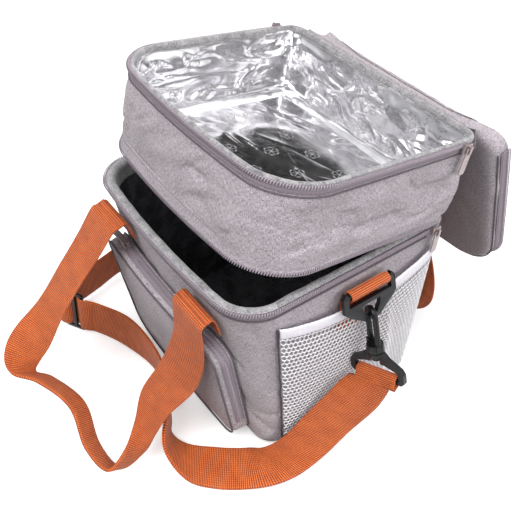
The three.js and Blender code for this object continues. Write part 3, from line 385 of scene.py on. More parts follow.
# Lower box's lining: a black coated film, welded into a bag and sewn in at the rim. It hangs loose,
# so the walls pucker and the floor lies slack.


# Black coated lining: glossy, with a soft crinkle
def coated(name):
    mat, tree, bsdf = shader(name)
    crinkle = speckle(tree, coords(tree, "Object"), 60.0, 4.0, 0.6)
    colour = ramp(tree, crinkle, (0.3, srgb(42, 42, 45)), (0.8, srgb(84, 84, 88)))
    feed(tree, bsdf, {"Base Color": colour, "Normal": bump(tree, crinkle, 0.6, 3.0), "Roughness": 0.2,
                      "IOR": 1.7, "Coat Weight": 1.0})
    return mat


LINING = coated("black_lining")
LINING_TOP = 188
LINING_IN = 8.3
FLOOR = 10.6

pairs = [(-LINING_IN, z) for z in np.linspace(LINING_TOP, 15, 56)] + [(-9.4, 12), (-12, FLOOR)]
P, N, around = rows_at(lower_plan, pairs)
x, y, z = split(P)
loose = creases(stack(x / 34, y / 34, z / 46), 3, 21)
soft = fractal(P / 60.0, 2, 8)
edge = np.clip((LINING_TOP - z) / 18, 0, 1)
hang = creases(stack(x / 58, y / 58, z / 240), 2, 25)
lip = 3.2 * np.exp(-(((z - 174) / 12) ** 2)) * (0.6 + 0.6 * soft)
depth = (1.4 + 1.5 * np.clip(loose, -0.6, 1.6) + 2.4 * np.clip(hang, -0.8, 1.2) + 2.2 * soft + lip) * edge
P = P - N * np.clip(depth, -0.6, 9)[..., None]
floor_rings = to_centre(P[-1], [FLOOR] * 12, np.linspace(0.93, 0.02, 12))
x, y, z = split(floor_rings)
z += np.clip(0.5 + 0.5 * creases(stack(x / 40, y / 40, 0), 2, 3), 0, 1.6)
liner = sheet("lower_lining", np.concatenate([P, floor_rings]), around, closed=True)
dress(liner, LINING, "lower_box", "black_liner", "lower_liner")

# Rim facings: light grey felt over a cord of foam, rolled over the rim and sewn down inside. The box
# has a deep one, and the tray a shallow one.


def moved(P, matrix):
    m = np.array(matrix)
    return P @ m[:3, :3].T + m[:3, 3]


# Light felt-like facing: soft fibres in every direction
def felt(name, light, dark):
    mat, tree, bsdf = shader(name)
    place = coords(tree, "UV")
    fibre = speckle(tree, place, 5.5, 5.0, 0.75)
    patch = speckle(tree, place, 1.1, 2.0)
    fac = weighed(tree, (fibre, 0.75), (patch, 0.3))
    colour = ramp(tree, fac, (0.42, dark), (0.62, light))
    feed(tree, bsdf, {"Base Color": colour, "Normal": bump(tree, fibre, 0.8, 0.8), "Roughness": 0.95,
                      "Sheen Weight": 0.35})
    return mat


FELT = felt("grey_facing", srgb(172, 170, 171), srgb(104, 102, 104))


def spline(pairs, count):
    pairs = np.asarray(pairs, float)
    s = distances(pairs)
    return at_distances(np.linspace(0, s[-1], count), s, pairs)


def facing(name, plan, top, deep, wide, matrix, body, cad, seed):
    curve = [(-0.5, top - 2.2), (-0.12 * wide, top - 0.6), (-0.3 * wide, top + 0.5),
             (-0.52 * wide, top + 0.75), (-0.76 * wide, top + 0.2), (-0.93 * wide, top - 1.6),
             (-wide, top - 4.5), (-wide, top - 0.6 * deep), (-0.95 * wide, top - deep)]
    P, N, around = rows_at(plan, spline(curve, 16))
    uneven = 0.6 * fractal(P / 12.0, 3, seed) + 0.9 * fractal(P / 38.0, 2, seed + 4)
    push = np.sin(np.linspace(0, np.pi, 16))[:, None] * uneven
    inward = np.linspace(0, -1, 16)[:, None] * push
    P = P + N * inward[..., None]
    P[..., 2] += 0.5 * push * np.linspace(1, 0, 16)[:, None]
    obj = sheet(name, moved(P, matrix), around, closed=True)
    return dress(solidify(obj, 0.9, 1), FELT, body, "felt", cad)


facing("lower_facing_roll", lower_plan, H, 17, 7.0, Matrix(), "lower_box", "lower_rim_facing", 2)

# Zips: a herringbone tape with a spiral coil of nylon on its edge, one half on each rim. Each half is
# sewn on with one row of stitches, and a piping covers the seam beside it.


# A round bar along a path; its ends are closed
def bar(name, path, out, radius, sides=8, closed=False):
    path = np.asarray(path, float)
    if closed:
        tangent = unit(np.roll(path, -1, axis=0) - np.roll(path, 1, axis=0))
    else:
        tangent = unit(np.gradient(path, axis=0))
    a = np.broadcast_to(out, path.shape)
    a = unit(a - tangent * np.sum(a * tangent, axis=1)[:, None])
    b = np.cross(tangent, a)
    angle = np.linspace(0, 2 * np.pi, sides, endpoint=False)[:, None]
    ring = path[:, None] + a[:, None] * radius * np.cos(angle) + b[:, None] * radius * np.sin(angle)
    return gridded(name, ring, joined=True, ringed=closed, capped=not closed)


# Even steps along a path: points, their distances, and the path's own
def along(path, step):
    s = distances(path)
    t = np.linspace(0, s[-1], max(4, int(round(s[-1] / step))))
    return at_distances(t, s, path), t, s


def carry(direction, path, t, s):
    return unit(at_distances(t, s, np.broadcast_to(direction, path.shape)))


# The spiral coil of one half of a zip
def coil(name, path, out, up, radius=1.35, pitch=2.1, wire=0.5):
    centre, t, s = along(path, pitch / 7)
    o = carry(out, path, t, s)
    u = carry(up, path, t, s)
    turn = 2 * np.pi * t / pitch
    p = centre + o * (radius * np.cos(turn))[:, None] + u * (1.15 * radius * np.sin(turn))[:, None]
    return bar(name, p, o, wire, sides=4)


def make(name, verts, faces):
    mesh = bpy.data.meshes.new(name)
    mesh.from_pydata((np.asarray(verts, float) * MM).tolist(), [], [tuple(f) for f in faces])
    mesh.polygons.foreach_set("use_smooth", np.ones(len(mesh.polygons), bool))
    obj = bpy.data.objects.new(name, mesh)
    bpy.context.collection.objects.link(obj)
    return obj


# A row of sewn stitches that lies on a surface
def stitches(name, path, out, pitch=3.1, length=2.2, radius=0.24):
    centre, t, s = along(path, pitch)
    o = carry(out, path, t, s)
    tangent = unit(np.gradient(centre, axis=0))
    side = np.cross(tangent, o)
    verts = []
    faces = []
    angle = np.linspace(0, 2 * np.pi, 6, endpoint=False)
    shape = ((-0.5, 0.35, -0.35), (-0.28, 1, 0), (0.28, 1, 0), (0.5, 0.35, -0.35))
    for k in range(len(centre)):
        base = len(verts)
        for a, r, lift in shape:
            for g in angle:
                p = centre[k] + tangent[k] * a * length + side[k] * math.cos(g) * radius * r
                verts.append(p + o[k] * (math.sin(g) * radius * r + lift * radius))
        for ring in range(3):
            for j in range(6):
                j2 = (j + 1) % 6
                row = base + ring * 6
                faces.append([row + j, row + j2, row + 6 + j2, row + 6 + j])
        faces.append([base + j for j in range(5, -1, -1)])
        faces.append([base + 18 + j for j in range(6)])
    return make(name, np.array(verts), faces)


def turned(v, matrix):
    return v @ np.array(matrix)[:3, :3].T


# Zip tape: a fine herringbone
def tape(name, light, dark):
    mat, tree, bsdf = shader(name)
    twill = wave(tree, coords(tree, "UV", turn=0.7), 3.6, 0.4, "X")
    grain = speckle(tree, coords(tree, "UV"), 14.0, 2.0)
    fac = weighed(tree, (twill, 0.5), (grain, 0.5))
    colour = ramp(tree, fac, (0.3, dark), (0.75, light))
    feed(tree, bsdf, {"Base Color": colour, "Normal": bump(tree, fac, 0.6, 0.3), "Roughness": 0.72})
    return mat


TAPE = tape("zip_tape", srgb(166, 154, 163), srgb(120, 109, 117))


# A plain colour with fine mottling, for thread, piping, plastic and metal
def plain(name, colour, rough, grain, size=900.0, metallic=0.0, specular=0.5):
    mat, tree, bsdf = shader(name)
    spots = speckle(tree, coords(tree, "Object"), size, 3.0)
    darker = tuple(c * 0.72 for c in colour)
    wear = ramp(tree, spots, (0.2, (rough * 0.8,) * 3), (0.8, (min(1, rough * 1.25),) * 3))
    feed(tree, bsdf, {"Base Color": ramp(tree, spots, (0.3, darker), (0.7, colour)), "Roughness": wear,
                      "Normal": bump(tree, spots, grain, 0.2), "Metallic": metallic,
                      "Specular IOR Level": specular})
    return mat


COIL = plain("zip_coil", srgb(172, 160, 170), 0.4, 0.2, 600.0)
PIPING = plain("piping", srgb(104, 95, 102), 0.85, 0.5)
THREAD = plain("grey_thread", srgb(120, 110, 116), 0.8, 0.4)
ORANGE_THREAD = plain("orange_thread", srgb(188, 66, 20), 0.75, 0.4)


def sewn(name, path, out, thread=ORANGE_THREAD, body="lower_box", slot="orange_webbing"):
    dress(stitches(name, path, out), thread, body, slot)


def rod(name, path, out, radius, material, body, slot, sides=8, closed=False):
    return dress(bar(name, path, out, radius, sides, closed), material, body, slot)


ZIP_START = 0.157
ZIP_END = 0.843


def zip_path(plan, off, z):
    xy, normal, s = plan(z)
    p = np.column_stack([xy + off * normal, np.full(len(xy), z)])
    keep = (s[:-1] > ZIP_START * s[-1]) & (s[:-1] < ZIP_END * s[-1])
    return p[keep], np.column_stack([normal, np.zeros(len(xy))])[keep]


def zip_half(name, plan, edge, down, matrix, body, nodes, width=7.6, cloth=TAPE, piping=9.4):
    sign = 1 if down else -1

    def line(off, below):
        path, out = zip_path(plan, off, edge - sign * below)
        return moved(path, matrix), turned(out, matrix)

    profile = [(0.35, width), (0.75, width - 0.4), (0.95, 5), (1.1, 3.2), (1.5, 1.0), (0.9, 0.5)]
    profile = [(off, edge - sign * below) for off, below in profile]
    rows = [zip_path(plan, off, z)[0] for off, z in spline(profile, 12)]
    count = min(len(r) for r in rows)
    tape_sheet = sheet(name + "_tape", moved(np.array([r[:count] for r in rows]), matrix))
    dress(solidify(tape_sheet, 0.5, 0), cloth, body, "zip_tape", *nodes)
    up = turned(np.array([0.0, 0.0, 1.0]), matrix)
    dress(coil(name + "_coil", *line(1.8, 1.2), up), COIL, body, "zip_tape")
    sewn(name + "_stitching", *line(1.2, width - 1.6), THREAD, body, "zip_tape")
    if piping is not None:
        rod(name + "_piping", *line(0.55, piping), 0.75, PIPING, body, "zip_tape")


zip_half("lower_zip_half", lower_plan, H, True, Matrix(), "lower_box", ["lower_zip"])

# Tray and lid: both are shaped as they lie on the closed bag, and then tipped. The tray hinges on the
# box's back edge; the lid folds at two creases, one at each edge of a fabric strip.
T = 76
FILM_TOP = 73.0
FILM_IN = 3.6
FILM_FLOOR = 8.6
LID_TOP = T + 19.1
TRAY_Z = H + 1.4
HINGE1 = (97.7, H + 0.9)
HINGE2 = (98.4, TRAY_Z + T + 0.4)
HINGE3 = (98.4, TRAY_Z + T + 20)


def about(y, z, degrees):
    there = Matrix.Translation((0, y, z))
    return there @ Matrix.Rotation(math.radians(degrees), 4, "X") @ there.inverted()


TRAY = about(*HINGE1, -8)
PANEL = TRAY @ about(*HINGE2, -112)
LID = PANEL @ about(*HINGE3, -131)
UP = Matrix.Translation((0, 0, TRAY_Z))
TRAY_UP = TRAY @ UP
LID_UP = LID @ UP


def tray_plan(z):
    s = min(1.3, max(0, z / T))
    return outline(118 - s, 96, -106 + 6 * s, 14, 42, 9, 0.8)


def lid_plan(z):
    return outline(117, 89, -100, 14, 42, 9, 0.8)


# Tray: the same canvas over a foam wall, sewn to a flat base. It swells between its zips, with a few
# slanting folds, and its lower edge sags where the foam ends.


# Straight pinched folds scattered over a sheet; u goes round it and closes after the given span
def pinches(u, v, seed, count, span, low, high, slant, length, width):
    rng = np.random.default_rng(seed)
    total = np.zeros(np.shape(u))
    for _ in range(count):
        du = (u - rng.uniform(0, span) + span / 2) % span - span / 2
        dv = v - rng.uniform(low, high)
        turn = rng.normal(slant, 0.5)
        run = length * rng.uniform(0.4, 1.2)
        sharp = width * rng.uniform(0.6, 1.5)
        a = du * math.cos(turn) + dv * math.sin(turn)
        b = dv * math.cos(turn) - du * math.sin(turn)
        total += rng.uniform(-0.6, 1) * np.exp(-np.abs(b) / sharp) * np.exp(-((a / run) ** 2))
    return total


def ease(t):
    t = np.clip(t, 0, 1)
    return t * t * (3 - 2 * t)


pairs = [(0, z) for z in np.linspace(T, 9, 46)]
pairs += [(-0.4, 6.6), (-1.2, 4.5), (-2.8, 2.4), (-5, 1.0), (-9, 0.2)]
P, N, around = rows_at(tray_plan, pairs)
x, y, z = split(P)
bulge = 1.5 * np.sin(np.pi * np.clip((z - 4) / (T - 8), 0, 1)) ** 1.2
flat = np.clip((z - 12) / 14, 0, 1) * np.clip((T - 11 - z) / 12, 0, 1)
slant = stack(x / 52 - z / 42, y / 60, z / 50)
swell = 2.9 * fractal(slant, 2, 31)
sharp = np.maximum(0, creases(stack(x / 34 - z / 26, y / 44, z / 60), 2, 17)) ** 2
side_fold = np.exp(-((z - 17 - 0.05 * y) / 2.2) ** 2) * (np.abs(x) > 60)
pucker = np.maximum(0, creases(stack(x / 13, y / 13, z / 90), 2, 23))
pucker *= ease((-x - 45) / 40) + 0.35
depth = bulge + (swell - 1.7 * sharp - 0.9 * pucker) * flat - 1.1 * side_fold * flat
u = np.broadcast_to(around[:-1], z.shape)
crossing = pinches(u, z, 28, 46, around[-1], 4, 66, -0.35, 34, 3.2)
depth = depth - 1.5 * np.clip(crossing, -0.6, 1.4) * flat
sag = ease((40 - z) / 30) * (2.6 * cell_noise(stack(x / 42, y / 42, 0), 27))
P = P + N * np.maximum(depth + sag, -1.3)[..., None]
P[..., 2] -= 1.4 * np.abs(sag)
base = to_centre(P[-1], [0.1] * 5, [0.8, 0.55, 0.3, 0.12, 0.01])
shell = sheet("tray_shell_canvas", moved(np.concatenate([P, base]), TRAY_UP), around, closed=True)
flip(shell)
dress(solidify(shell, 1.4), GREY, "tray", "grey_fabric", "tray_shell", "tray_foam", "tray_floor_foam")

# Tray's lining: silver film with a sparse print, gathered at the rim and pinched in straight folds on
# the walls. It lies over a padded floor that swells in the middle.


def mix(tree, fac, a, b, blend="MIX"):
    n = tree.nodes.new("ShaderNodeMix")
    n.data_type = "RGBA"
    n.blend_type = blend
    for key, value in (("Factor", fac), ("A", a), ("B", b)):
        socket = [s for s in n.inputs if s.name == key and s.enabled][0]
        if isinstance(value, bpy.types.NodeSocket):
            tree.links.new(value, socket)
        elif key == "Factor":
            socket.default_value = value
        else:
            socket.default_value = (*value, 1)
    return [s for s in n.outputs if s.enabled][0]


# Silver film with a sparse printed star of six arms in staggered rows; lengths are in centimetres
STAR_ACROSS = 3.6
STAR_UP = 3.1
STAR_RADIUS = 0.62


def foil(name):
    mat, tree, bsdf = shader(name)
    uv = tree.nodes.new("ShaderNodeTexCoord").outputs["UV"]
    u, v, _ = node(tree, "ShaderNodeSeparateXYZ", {0: uv}).outputs
    row = calc(tree, "FLOOR", calc(tree, "DIVIDE", v, STAR_UP))
    odd = calc(tree, "MODULO", calc(tree, "ABSOLUTE", row), 2.0)
    shifted = add(tree, u, mul(tree, odd, STAR_ACROSS / 2))
    x = calc(tree, "SUBTRACT", calc(tree, "FLOORED_MODULO", shifted, STAR_ACROSS), STAR_ACROSS / 2)
    y = calc(tree, "SUBTRACT", calc(tree, "FLOORED_MODULO", v, STAR_UP), STAR_UP / 2)
    radius = calc(tree, "SQRT", add(tree, mul(tree, x, x), mul(tree, y, y)))
    thrice = mul(tree, calc(tree, "ARCTAN2", y, x), 3.0)
    off_arm = mul(tree, calc(tree, "ABSOLUTE", calc(tree, "SINE", thrice)), radius)
    inside = calc(tree, "LESS_THAN", radius, STAR_RADIUS)
    arms = mul(tree, calc(tree, "LESS_THAN", off_arm, 0.11), inside)
    rim = calc(tree, "COMPARE", radius, STAR_RADIUS, 0.07)
    gaps = calc(tree, "LESS_THAN", calc(tree, "ABSOLUTE", calc(tree, "COSINE", thrice)), 0.75)
    printed = mul(tree, calc(tree, "MAXIMUM", arms, mul(tree, rim, gaps)), 0.8)
    place = coords(tree, "UV")
    tint = speckle(tree, place, 0.35, 3.0)
    silver = ramp(tree, tint, (0.3, srgb(206, 205, 208)), (0.7, srgb(238, 237, 238)))
    small = speckle(tree, place, 1.3, 4.0, 0.55)
    feed(tree, bsdf, {"Base Color": mix(tree, printed, silver, srgb(128, 128, 131)),
                      "Normal": bump(tree, small, 0.16, 1.0),
                      "Roughness": ramp(tree, small, (0.3, (0.12,) * 3), (0.75, (0.24,) * 3)),
                      "Metallic": calc(tree, "SUBTRACT", 1.0, printed)})
    return mat


FOIL = foil("silver_film")

pairs = [(-FILM_IN, z) for z in np.linspace(FILM_TOP, 15, 96)] + [(-6.4, 12), (-8.6, 9.6), (-12, FILM_FLOOR)]
P, N, around = rows_at(tray_plan, pairs)
x, y, z = split(P)
gather = ease((FILM_TOP + 0.5 - z) / 14)
lower = ease((z - 13) / 16)
warp = 0.5 * fractal(P / 45.0, 2, 40)
crush = creases(stack(x / 62 + warp, y / 62 + warp, z / 30), 2, 41, 0.35)
span = around[-1]
u = np.broadcast_to(around[:-1], z.shape)
fold = pinches(u, z, 45, 130, span, 14, 74, 0.5, 16, 2.4)
fold += 0.7 * pinches(u, z, 46, 150, span, 14, 74, -0.4, 9, 1.5)
depth = 3.0 + (1.9 * np.clip(crush, -1, 1.6) + 2.6 * np.clip(fold, -1.2, 1.8)) * lower + 3.0 * (1 - lower)
P = P - N * (np.clip(depth, 0.6, 12) * gather)[..., None]
P[..., 2] += 0.8 * cell_noise(P / 17.0, 3) * gather
scales = np.concatenate([np.linspace(0.985, 0.86, 12), np.linspace(0.85, 0.01, 70)])
pad = to_centre(P[-1], [0] * len(scales), scales)
x, y, z = split(pad)
near = 1 - scales[:, None]
across = (x - 12) / 96
along_y = (y + 16) / 88
reach = (np.abs(across) ** 2.5 + np.abs(along_y) ** 2.5) ** 0.4
cushion = ease((1.12 - reach) / 0.62)
warp = 0.5 * fractal(pad / 70.0, 2, 51)
ray = stack(x / 110 + y / 130 + warp, y / 46 - x / 95 + warp, 0)
calm = ease((x - y - 20) / 110)
long_folds = 0.4 * creases(ray, 2, 52, 0.3) * (1 - 0.9 * calm) + 0.9 * fractal(pad / 100.0, 2, 6)
crossing = pinches(x + 300, y, 48, 60, 600, -100, 100, 0.5, 26, 1.8) * 1.3
crossing *= 1 - 0.85 * calm
angle = np.arctan2(along_y, across)
gathers = np.sin(angle * 38 + 4 * cell_noise(pad / 26.0, 9)) * np.exp(-(((reach - 0.93) / 0.14) ** 2))
pad[..., 2] = FILM_FLOOR + 8.0 * ease(near / 0.08) + 8.5 * cushion
pad[..., 2] += (long_folds + 0.3 * gathers + crossing) * ease(near / 0.05)
film = sheet("tray_film", moved(np.concatenate([P, pad]), TRAY_UP), around, closed=True, plan=pad)
dress(film, FOIL, "tray", "foil", "tray_liner")

facing("tray_facing_roll", tray_plan, T - 0.3, 6, 3.2, TRAY_UP, "tray", "tray_rim_facing", 12)
zip_half("tray_top_half", tray_plan, T, True, TRAY_UP, "tray", ["tray_top_zip"])
zip_half("tray_low_half", tray_plan, 0.9, False, TRAY_UP, "tray", ["tray_low_zip"], width=13.5, cloth=GREY,
         piping=None)

# Lid: a plate of foam in canvas with a shallow padded rim, sewn round its edge. The rim fades out
# towards the fabric strip that it hangs from.
curve = [(0, T + 1.2), (0, T + 12.6), (-0.5, T + 14.6), (-1.6, T + 16.4), (-3.4, T + 17.8), (-6, T + 18.7),
         (-10, LID_TOP)]
fade = np.interp(np.abs(np.linspace(-0.5, 0.5, POINTS, endpoint=False)), [0.34, 0.43], [0, 1])
P, N, around = rows_at(lid_plan, spline(curve, 26))
lift = (T + 11.6) * fade + (T + 1.2) * (1 - fade)
share = np.clip((T + 12.6 - P[..., 2]) / 11.4, 0, 1)
P[..., 2] = P[..., 2] * (1 - share) + share * (T + 12.6 - (T + 12.6 - lift) * share)
P = P + N * (0.5 * fractal(P / 30.0, 2, 61))[..., None]
scales = np.linspace(0.93, 0.01, 26)
top = to_centre(P[-1], [LID_TOP] * 26, scales)
top[..., 2] -= 0.9 + 0.9 * fractal(top / 55.0, 3, 66) * ease((1 - scales) / 0.1)[:, None]
shell = sheet("lid_shell_canvas", moved(np.concatenate([P, top]), LID_UP), around, closed=True)
dress(solidify(shell, 1.3), GREY, "lid", "grey_fabric", "lid_shell", "lid_foam")

# Lid's lining: the same silver film, laid in under the plate and crumpled. It is turned outwards at
# the rim, where the zip's tape is sewn over it.
pairs = [(-7.0, z) for z in np.linspace(T + 3.4, T + 11, 12)] + [(-8, T + 11.8), (-10.4, T + 12.2)]
P, N, around = rows_at(lid_plan, pairs)
share = np.clip((T + 11 - P[..., 2]) / 8, 0, 1) * fade
P[..., 2] += share * 7.2
crush = creases(stack(P[..., 0] / 26, P[..., 1] / 26, P[..., 2] / 20), 3, 71)
P = P - N * np.clip(0.5 + 0.8 * crush, 0, 2.5)[..., None]
scales = np.linspace(0.97, 0.01, 46)
under = to_centre(P[-1], [0] * 46, scales)
ray = stack(under[..., 0] / 34, under[..., 1] / 26, 0)
under[..., 2] = T + 11.9 - np.clip(1.0 + 1.0 * creases(ray, 4, 77, 0.55), 0, 3.4)
film = sheet("lid_film", moved(np.concatenate([P, under]), LID_UP), around, closed=True, plan=under)
flip(film)
dress(film, FOIL, "lid", "foil", "lid_liner")

zip_half("lid_half", lid_plan, T + 1.1, False, LID_UP, "lid", ["lid_zip"], width=9.4, piping=13.0)

# Fabric hinges: bands of canvas, folded double and sewn along their edges. One joins box and tray, and two
# beside a stiffer strip join tray and lid. Dark rods along three seams are painted shade for the gaps
# between bands.
# Dark piping for the nets' edges; the same dark is also painted shade in the gaps of the hinges
DARK = plain("net_piping_and_gap_shade", srgb(62, 57, 64), 0.7, 0.4)


def band(name, path, half, body, nodes, seed):
    path = spline(path, 18)
    x = np.linspace(-half, half, 90)
    P = stack(x, path[:, :1], path[:, 1:])
    P[..., 1] += 0.3 * fractal(P / 18.0, 2, seed)
    dress(solidify(sheet(name, P), 0.9, 0), GREY, body, "grey_fabric", *nodes)


def in_tray(y, z, matrix=TRAY):
    p = matrix @ Vector((0, y, z))
    return (p.y, p.z)


band("tray_hinge_band", [(94.4, 184), (94.6, 198), (95.2, 204), (97.0, 207.4), (98.8, 207.9), (99.6, 206.6)],
     100, "lower_box", ["tray_hinge_strip"], 81)
band("tray_back_band", [in_tray(97.0, H + 3.4), in_tray(97.2, H + 10), in_tray(97.0, H + 18.8)],
     98, "tray", ["tray_back_strip"], 82)
z2 = HINGE2[1]
band("tray_top_band", [in_tray(97.0, z2 - 17), in_tray(97.2, z2 - 6), in_tray(97.8, z2 - 1),
                       in_tray(98.6, z2 + 1.2)], 101, "tray", ["tray_top_strip"], 83)
z3 = HINGE3[1]
band("lid_strip", [in_tray(98.9, z2 + 2.6, PANEL), in_tray(99.1, z2 + 9, PANEL),
                   in_tray(98.6, z3 - 1, PANEL), in_tray(98.0, z3 + 1.4, PANEL)],
     101, "lid_panel", ["lid_hinge_panel"], 84)
band("lid_flap", [in_tray(96.0, z3, LID), in_tray(86, z3 + 0.2, LID), in_tray(72.6, z3, LID)],
     98, "lid", ["lid_hinge_flap"], 85)
# Dark rods along three seams: painted shade, standing for the shadow in the gaps between the bands
for name, y, z, matrix, body in (
    ("tray_top_band_gap_shade", 97.9, z2 - 9, TRAY, "tray"),
    ("lid_strip_gap_shade_low", 99.9, z2 + 5.2, PANEL, "lid_panel"),
    ("lid_strip_gap_shade_high", 99.6, z3 - 3.4, PANEL, "lid_panel"),
):
    path = np.array([[x, *in_tray(y, z, matrix)] for x in np.linspace(-99, 99, 60)])
    rod(name, path, turned(np.array([0.0, 1.0, 0.0]), matrix), 0.7, DARK, body, "grey_fabric", sides=6)

# Front pocket: a round-cornered patch of canvas on a narrow gusset, sewn to the leaning front. It
# swells with padding, and a piping runs round both seams of the gusset.


def front_y(z):
    return BASE_FRONT - FRONT_LEAN * rise(z)


def front_wall(x, z):
    return front_y(z) - (4 + 4 * rise(z)) * np.maximum(0, 1 - (x / HALF_W) ** 2)


POCKET_HALF = 92
POCKET_LOW = 9
POCKET_TOP = 150
POCKET_ROUND = 19
POCKET_MIDDLE = 79.5
POCKET_POINTS = 300


def pocket_corner(x_side, z, start):
    return quarter(x_side * (POCKET_HALF - POCKET_ROUND), z, POCKET_ROUND, start, 40)


high = POCKET_TOP - POCKET_ROUND
low = POCKET_LOW + POCKET_ROUND
corners = [pocket_corner(-1, high, 90), pocket_corner(-1, low, 180), pocket_corner(1, low, 270),
           pocket_corner(1, high, 0)]
ring_xz, ring_normal, _ = even_loop(np.concatenate(corners), POCKET_POINTS)


def pocket_at(off, out, scale=1.0):
    middle = (0, POCKET_MIDDLE)
    xz = (ring_xz + off * ring_normal - middle) * scale + middle
    return np.column_stack([xz[:, 0], front_wall(xz[:, 0], xz[:, 1]) - out, xz[:, 1]])


gusset = spline([(0.3, 0.3), (0.6, 4), (0.4, 9), (0.1, 13), (-0.8, 16.4), (-1.8, 17.6)], 16)
P = [pocket_at(off, out) for off, out in gusset]
scales = np.linspace(0.965, 0.02, 40)
P += [pocket_at(-1.8, 17.6 + 4.6 * (1 - k**3.0), k) for k in scales]
P = np.array(P)
weight = np.concatenate([np.linspace(0, 1, 16), np.ones(40)])[:, None]
swell = 0.9 * fractal(stack(P[..., 0] / 44 + P[..., 2] / 70, 0, P[..., 2] / 60), 3, 91)
P[..., 1] += np.maximum(-0.2, 0.6 + swell) * weight
patch = sheet("pocket_canvas", P, closed=True)
dress(solidify(patch, 1.2, -1), GREY, "lower_box", "grey_fabric", "pocket_shell")
FORWARD = (0, -1, 0)
for name, off, out, radius in (
    ("pocket_front_piping", -1.0, 17.9, 1.0), ("pocket_wall_piping", 0.9, 0.9, 0.8),
):
    rod(name, pocket_at(off, out), FORWARD, radius, PIPING, "lower_box", "grey_fabric", closed=True)

# Pocket zip: a narrow tape let into the gusset, over the top and down the right side. Its coil is
# finer than the rims' and is sewn on with a row of stitches on each side.
order = np.arange(POCKET_POINTS)
across = (ring_xz[:, 1] > 148.5) & (np.abs(ring_xz[:, 0]) < 74)
arc_right = (ring_xz[:, 0] > 72.9) & (ring_xz[:, 1] > 36)
chosen = order[across | arc_right]
start = np.argmax(np.diff(np.append(chosen, chosen[0] + POCKET_POINTS)) > 1) + 1
chosen = np.roll(chosen, -start)
lift = np.column_stack([ring_normal[:, 0], np.zeros(POCKET_POINTS), ring_normal[:, 1]])[chosen]
profile = spline([(0.7, 3), (0.9, 5.2), (1.0, 7.8), (0.9, 10.4), (0.7, 12.6)], 9)
rows = np.array([pocket_at(off, out)[chosen] for off, out in profile])
dress(solidify(sheet("pocket_zip_tape", rows), 0.5, 0), TAPE, "lower_box", "zip_tape", "pocket_zip")
row = pocket_at(1.5, 7.8)[chosen]
dress(coil("pocket_zip_coil", row, lift, FORWARD, radius=0.95), COIL, "lower_box", "zip_tape")
for k, out in enumerate((4.2, 11.4)):
    row = pocket_at(1.25, out)[chosen]
    sewn(f"pocket_zip_stitching_{k}", row, lift, THREAD, "lower_box", "zip_tape")

# Side nets: a knitted mesh of hexagons, gathered into a white elastic hem at the top. It bellies out
# from the wall and is bound to it with a dark piping at its front, back and foot.


# White elastic and mesh
def knit(name, light, dark):
    mat, tree, bsdf = shader(name)
    place = coords(tree, "UV")
    ribs = wave(tree, place, 2.6, 0.5, "Y")
    fuzz = speckle(tree, place, 10.0, 3.0)
    fac = weighed(tree, (ribs, 0.4), (fuzz, 0.6))
    colour = ramp(tree, fac, (0.2, dark), (0.7, light))
    feed(tree, bsdf, {"Base Color": colour, "Normal": bump(tree, fac, 0.6, 0.4), "Roughness": 0.75})
    return mat


ELASTIC = knit("white_elastic", srgb(250, 247, 252), srgb(214, 208, 220))
NETTING = plain("white_netting", srgb(254, 252, 255), 0.6, 0.3)


def side_wall(y, z):
    s = rise(z)
    yb = BACK + 2 * s
    yf = front_y(z)
    wy = 1 - ((y - (yb + yf) / 2) / ((yb - yf) / 2)) ** 2
    return HALF_W + 2.5 * np.sin(np.pi * s) * wy


NET_BACK = 80
NET_LOW = 13


def net_top(t):
    return 184 - 56 * t * (1 - t) - 12.6


def net_front(z):
    return front_y(z) + 20 + 12 * rise(z) - 2


def belly(t, v):
    return 2.2 + np.sqrt(np.maximum(0, 4 * t * (1 - t))) * (2 + 15.4 * v - 12.9 * v * v)


def net_y(t, z):
    return net_front(z) + t * (NET_BACK - net_front(z))


def net_fold(t, v, seed):
    soft = fractal(stack(t * 5 + v * 1.4, v * 2.6, 0), 2, seed)
    ridge = np.exp(-((t - 0.78 + 0.12 * v) / 0.035) ** 2) * 1.4
    return (0.9 * soft + ridge) * np.clip(8 * t * (1 - t), 0, 1) * np.clip(8 * v * (1 - v), 0, 1)


# Hexagons over a square of 1 by 1: shared corners on a fine grid, and faces
def hexagons(pitch, tall, grid=2000):
    numbers = {}
    faces = []
    for r in range(int(1 / tall) + 1):
        for c in range(int(round(1 / pitch)) + 1):
            cx = (c + 0.5 * (r % 2)) * pitch
            cy = (r + 0.2) * tall
            corners = [math.radians(60 * k + 30) for k in range(6)]
            keys = [(round((cx + 0.5774 * pitch * math.cos(a)) * grid),
                     round((cy + 0.667 * tall * math.sin(a)) * grid)) for a in corners]
            across, up = np.array(keys).T / grid
            if min(across) >= -0.001 and max(across) <= 1.001 and min(up) >= -0.01 and max(up) <= 1.005:
                faces.append([numbers.setdefault(key, len(numbers)) for key in keys])
    return np.clip(np.array(list(numbers)) / grid, 0, 1), faces


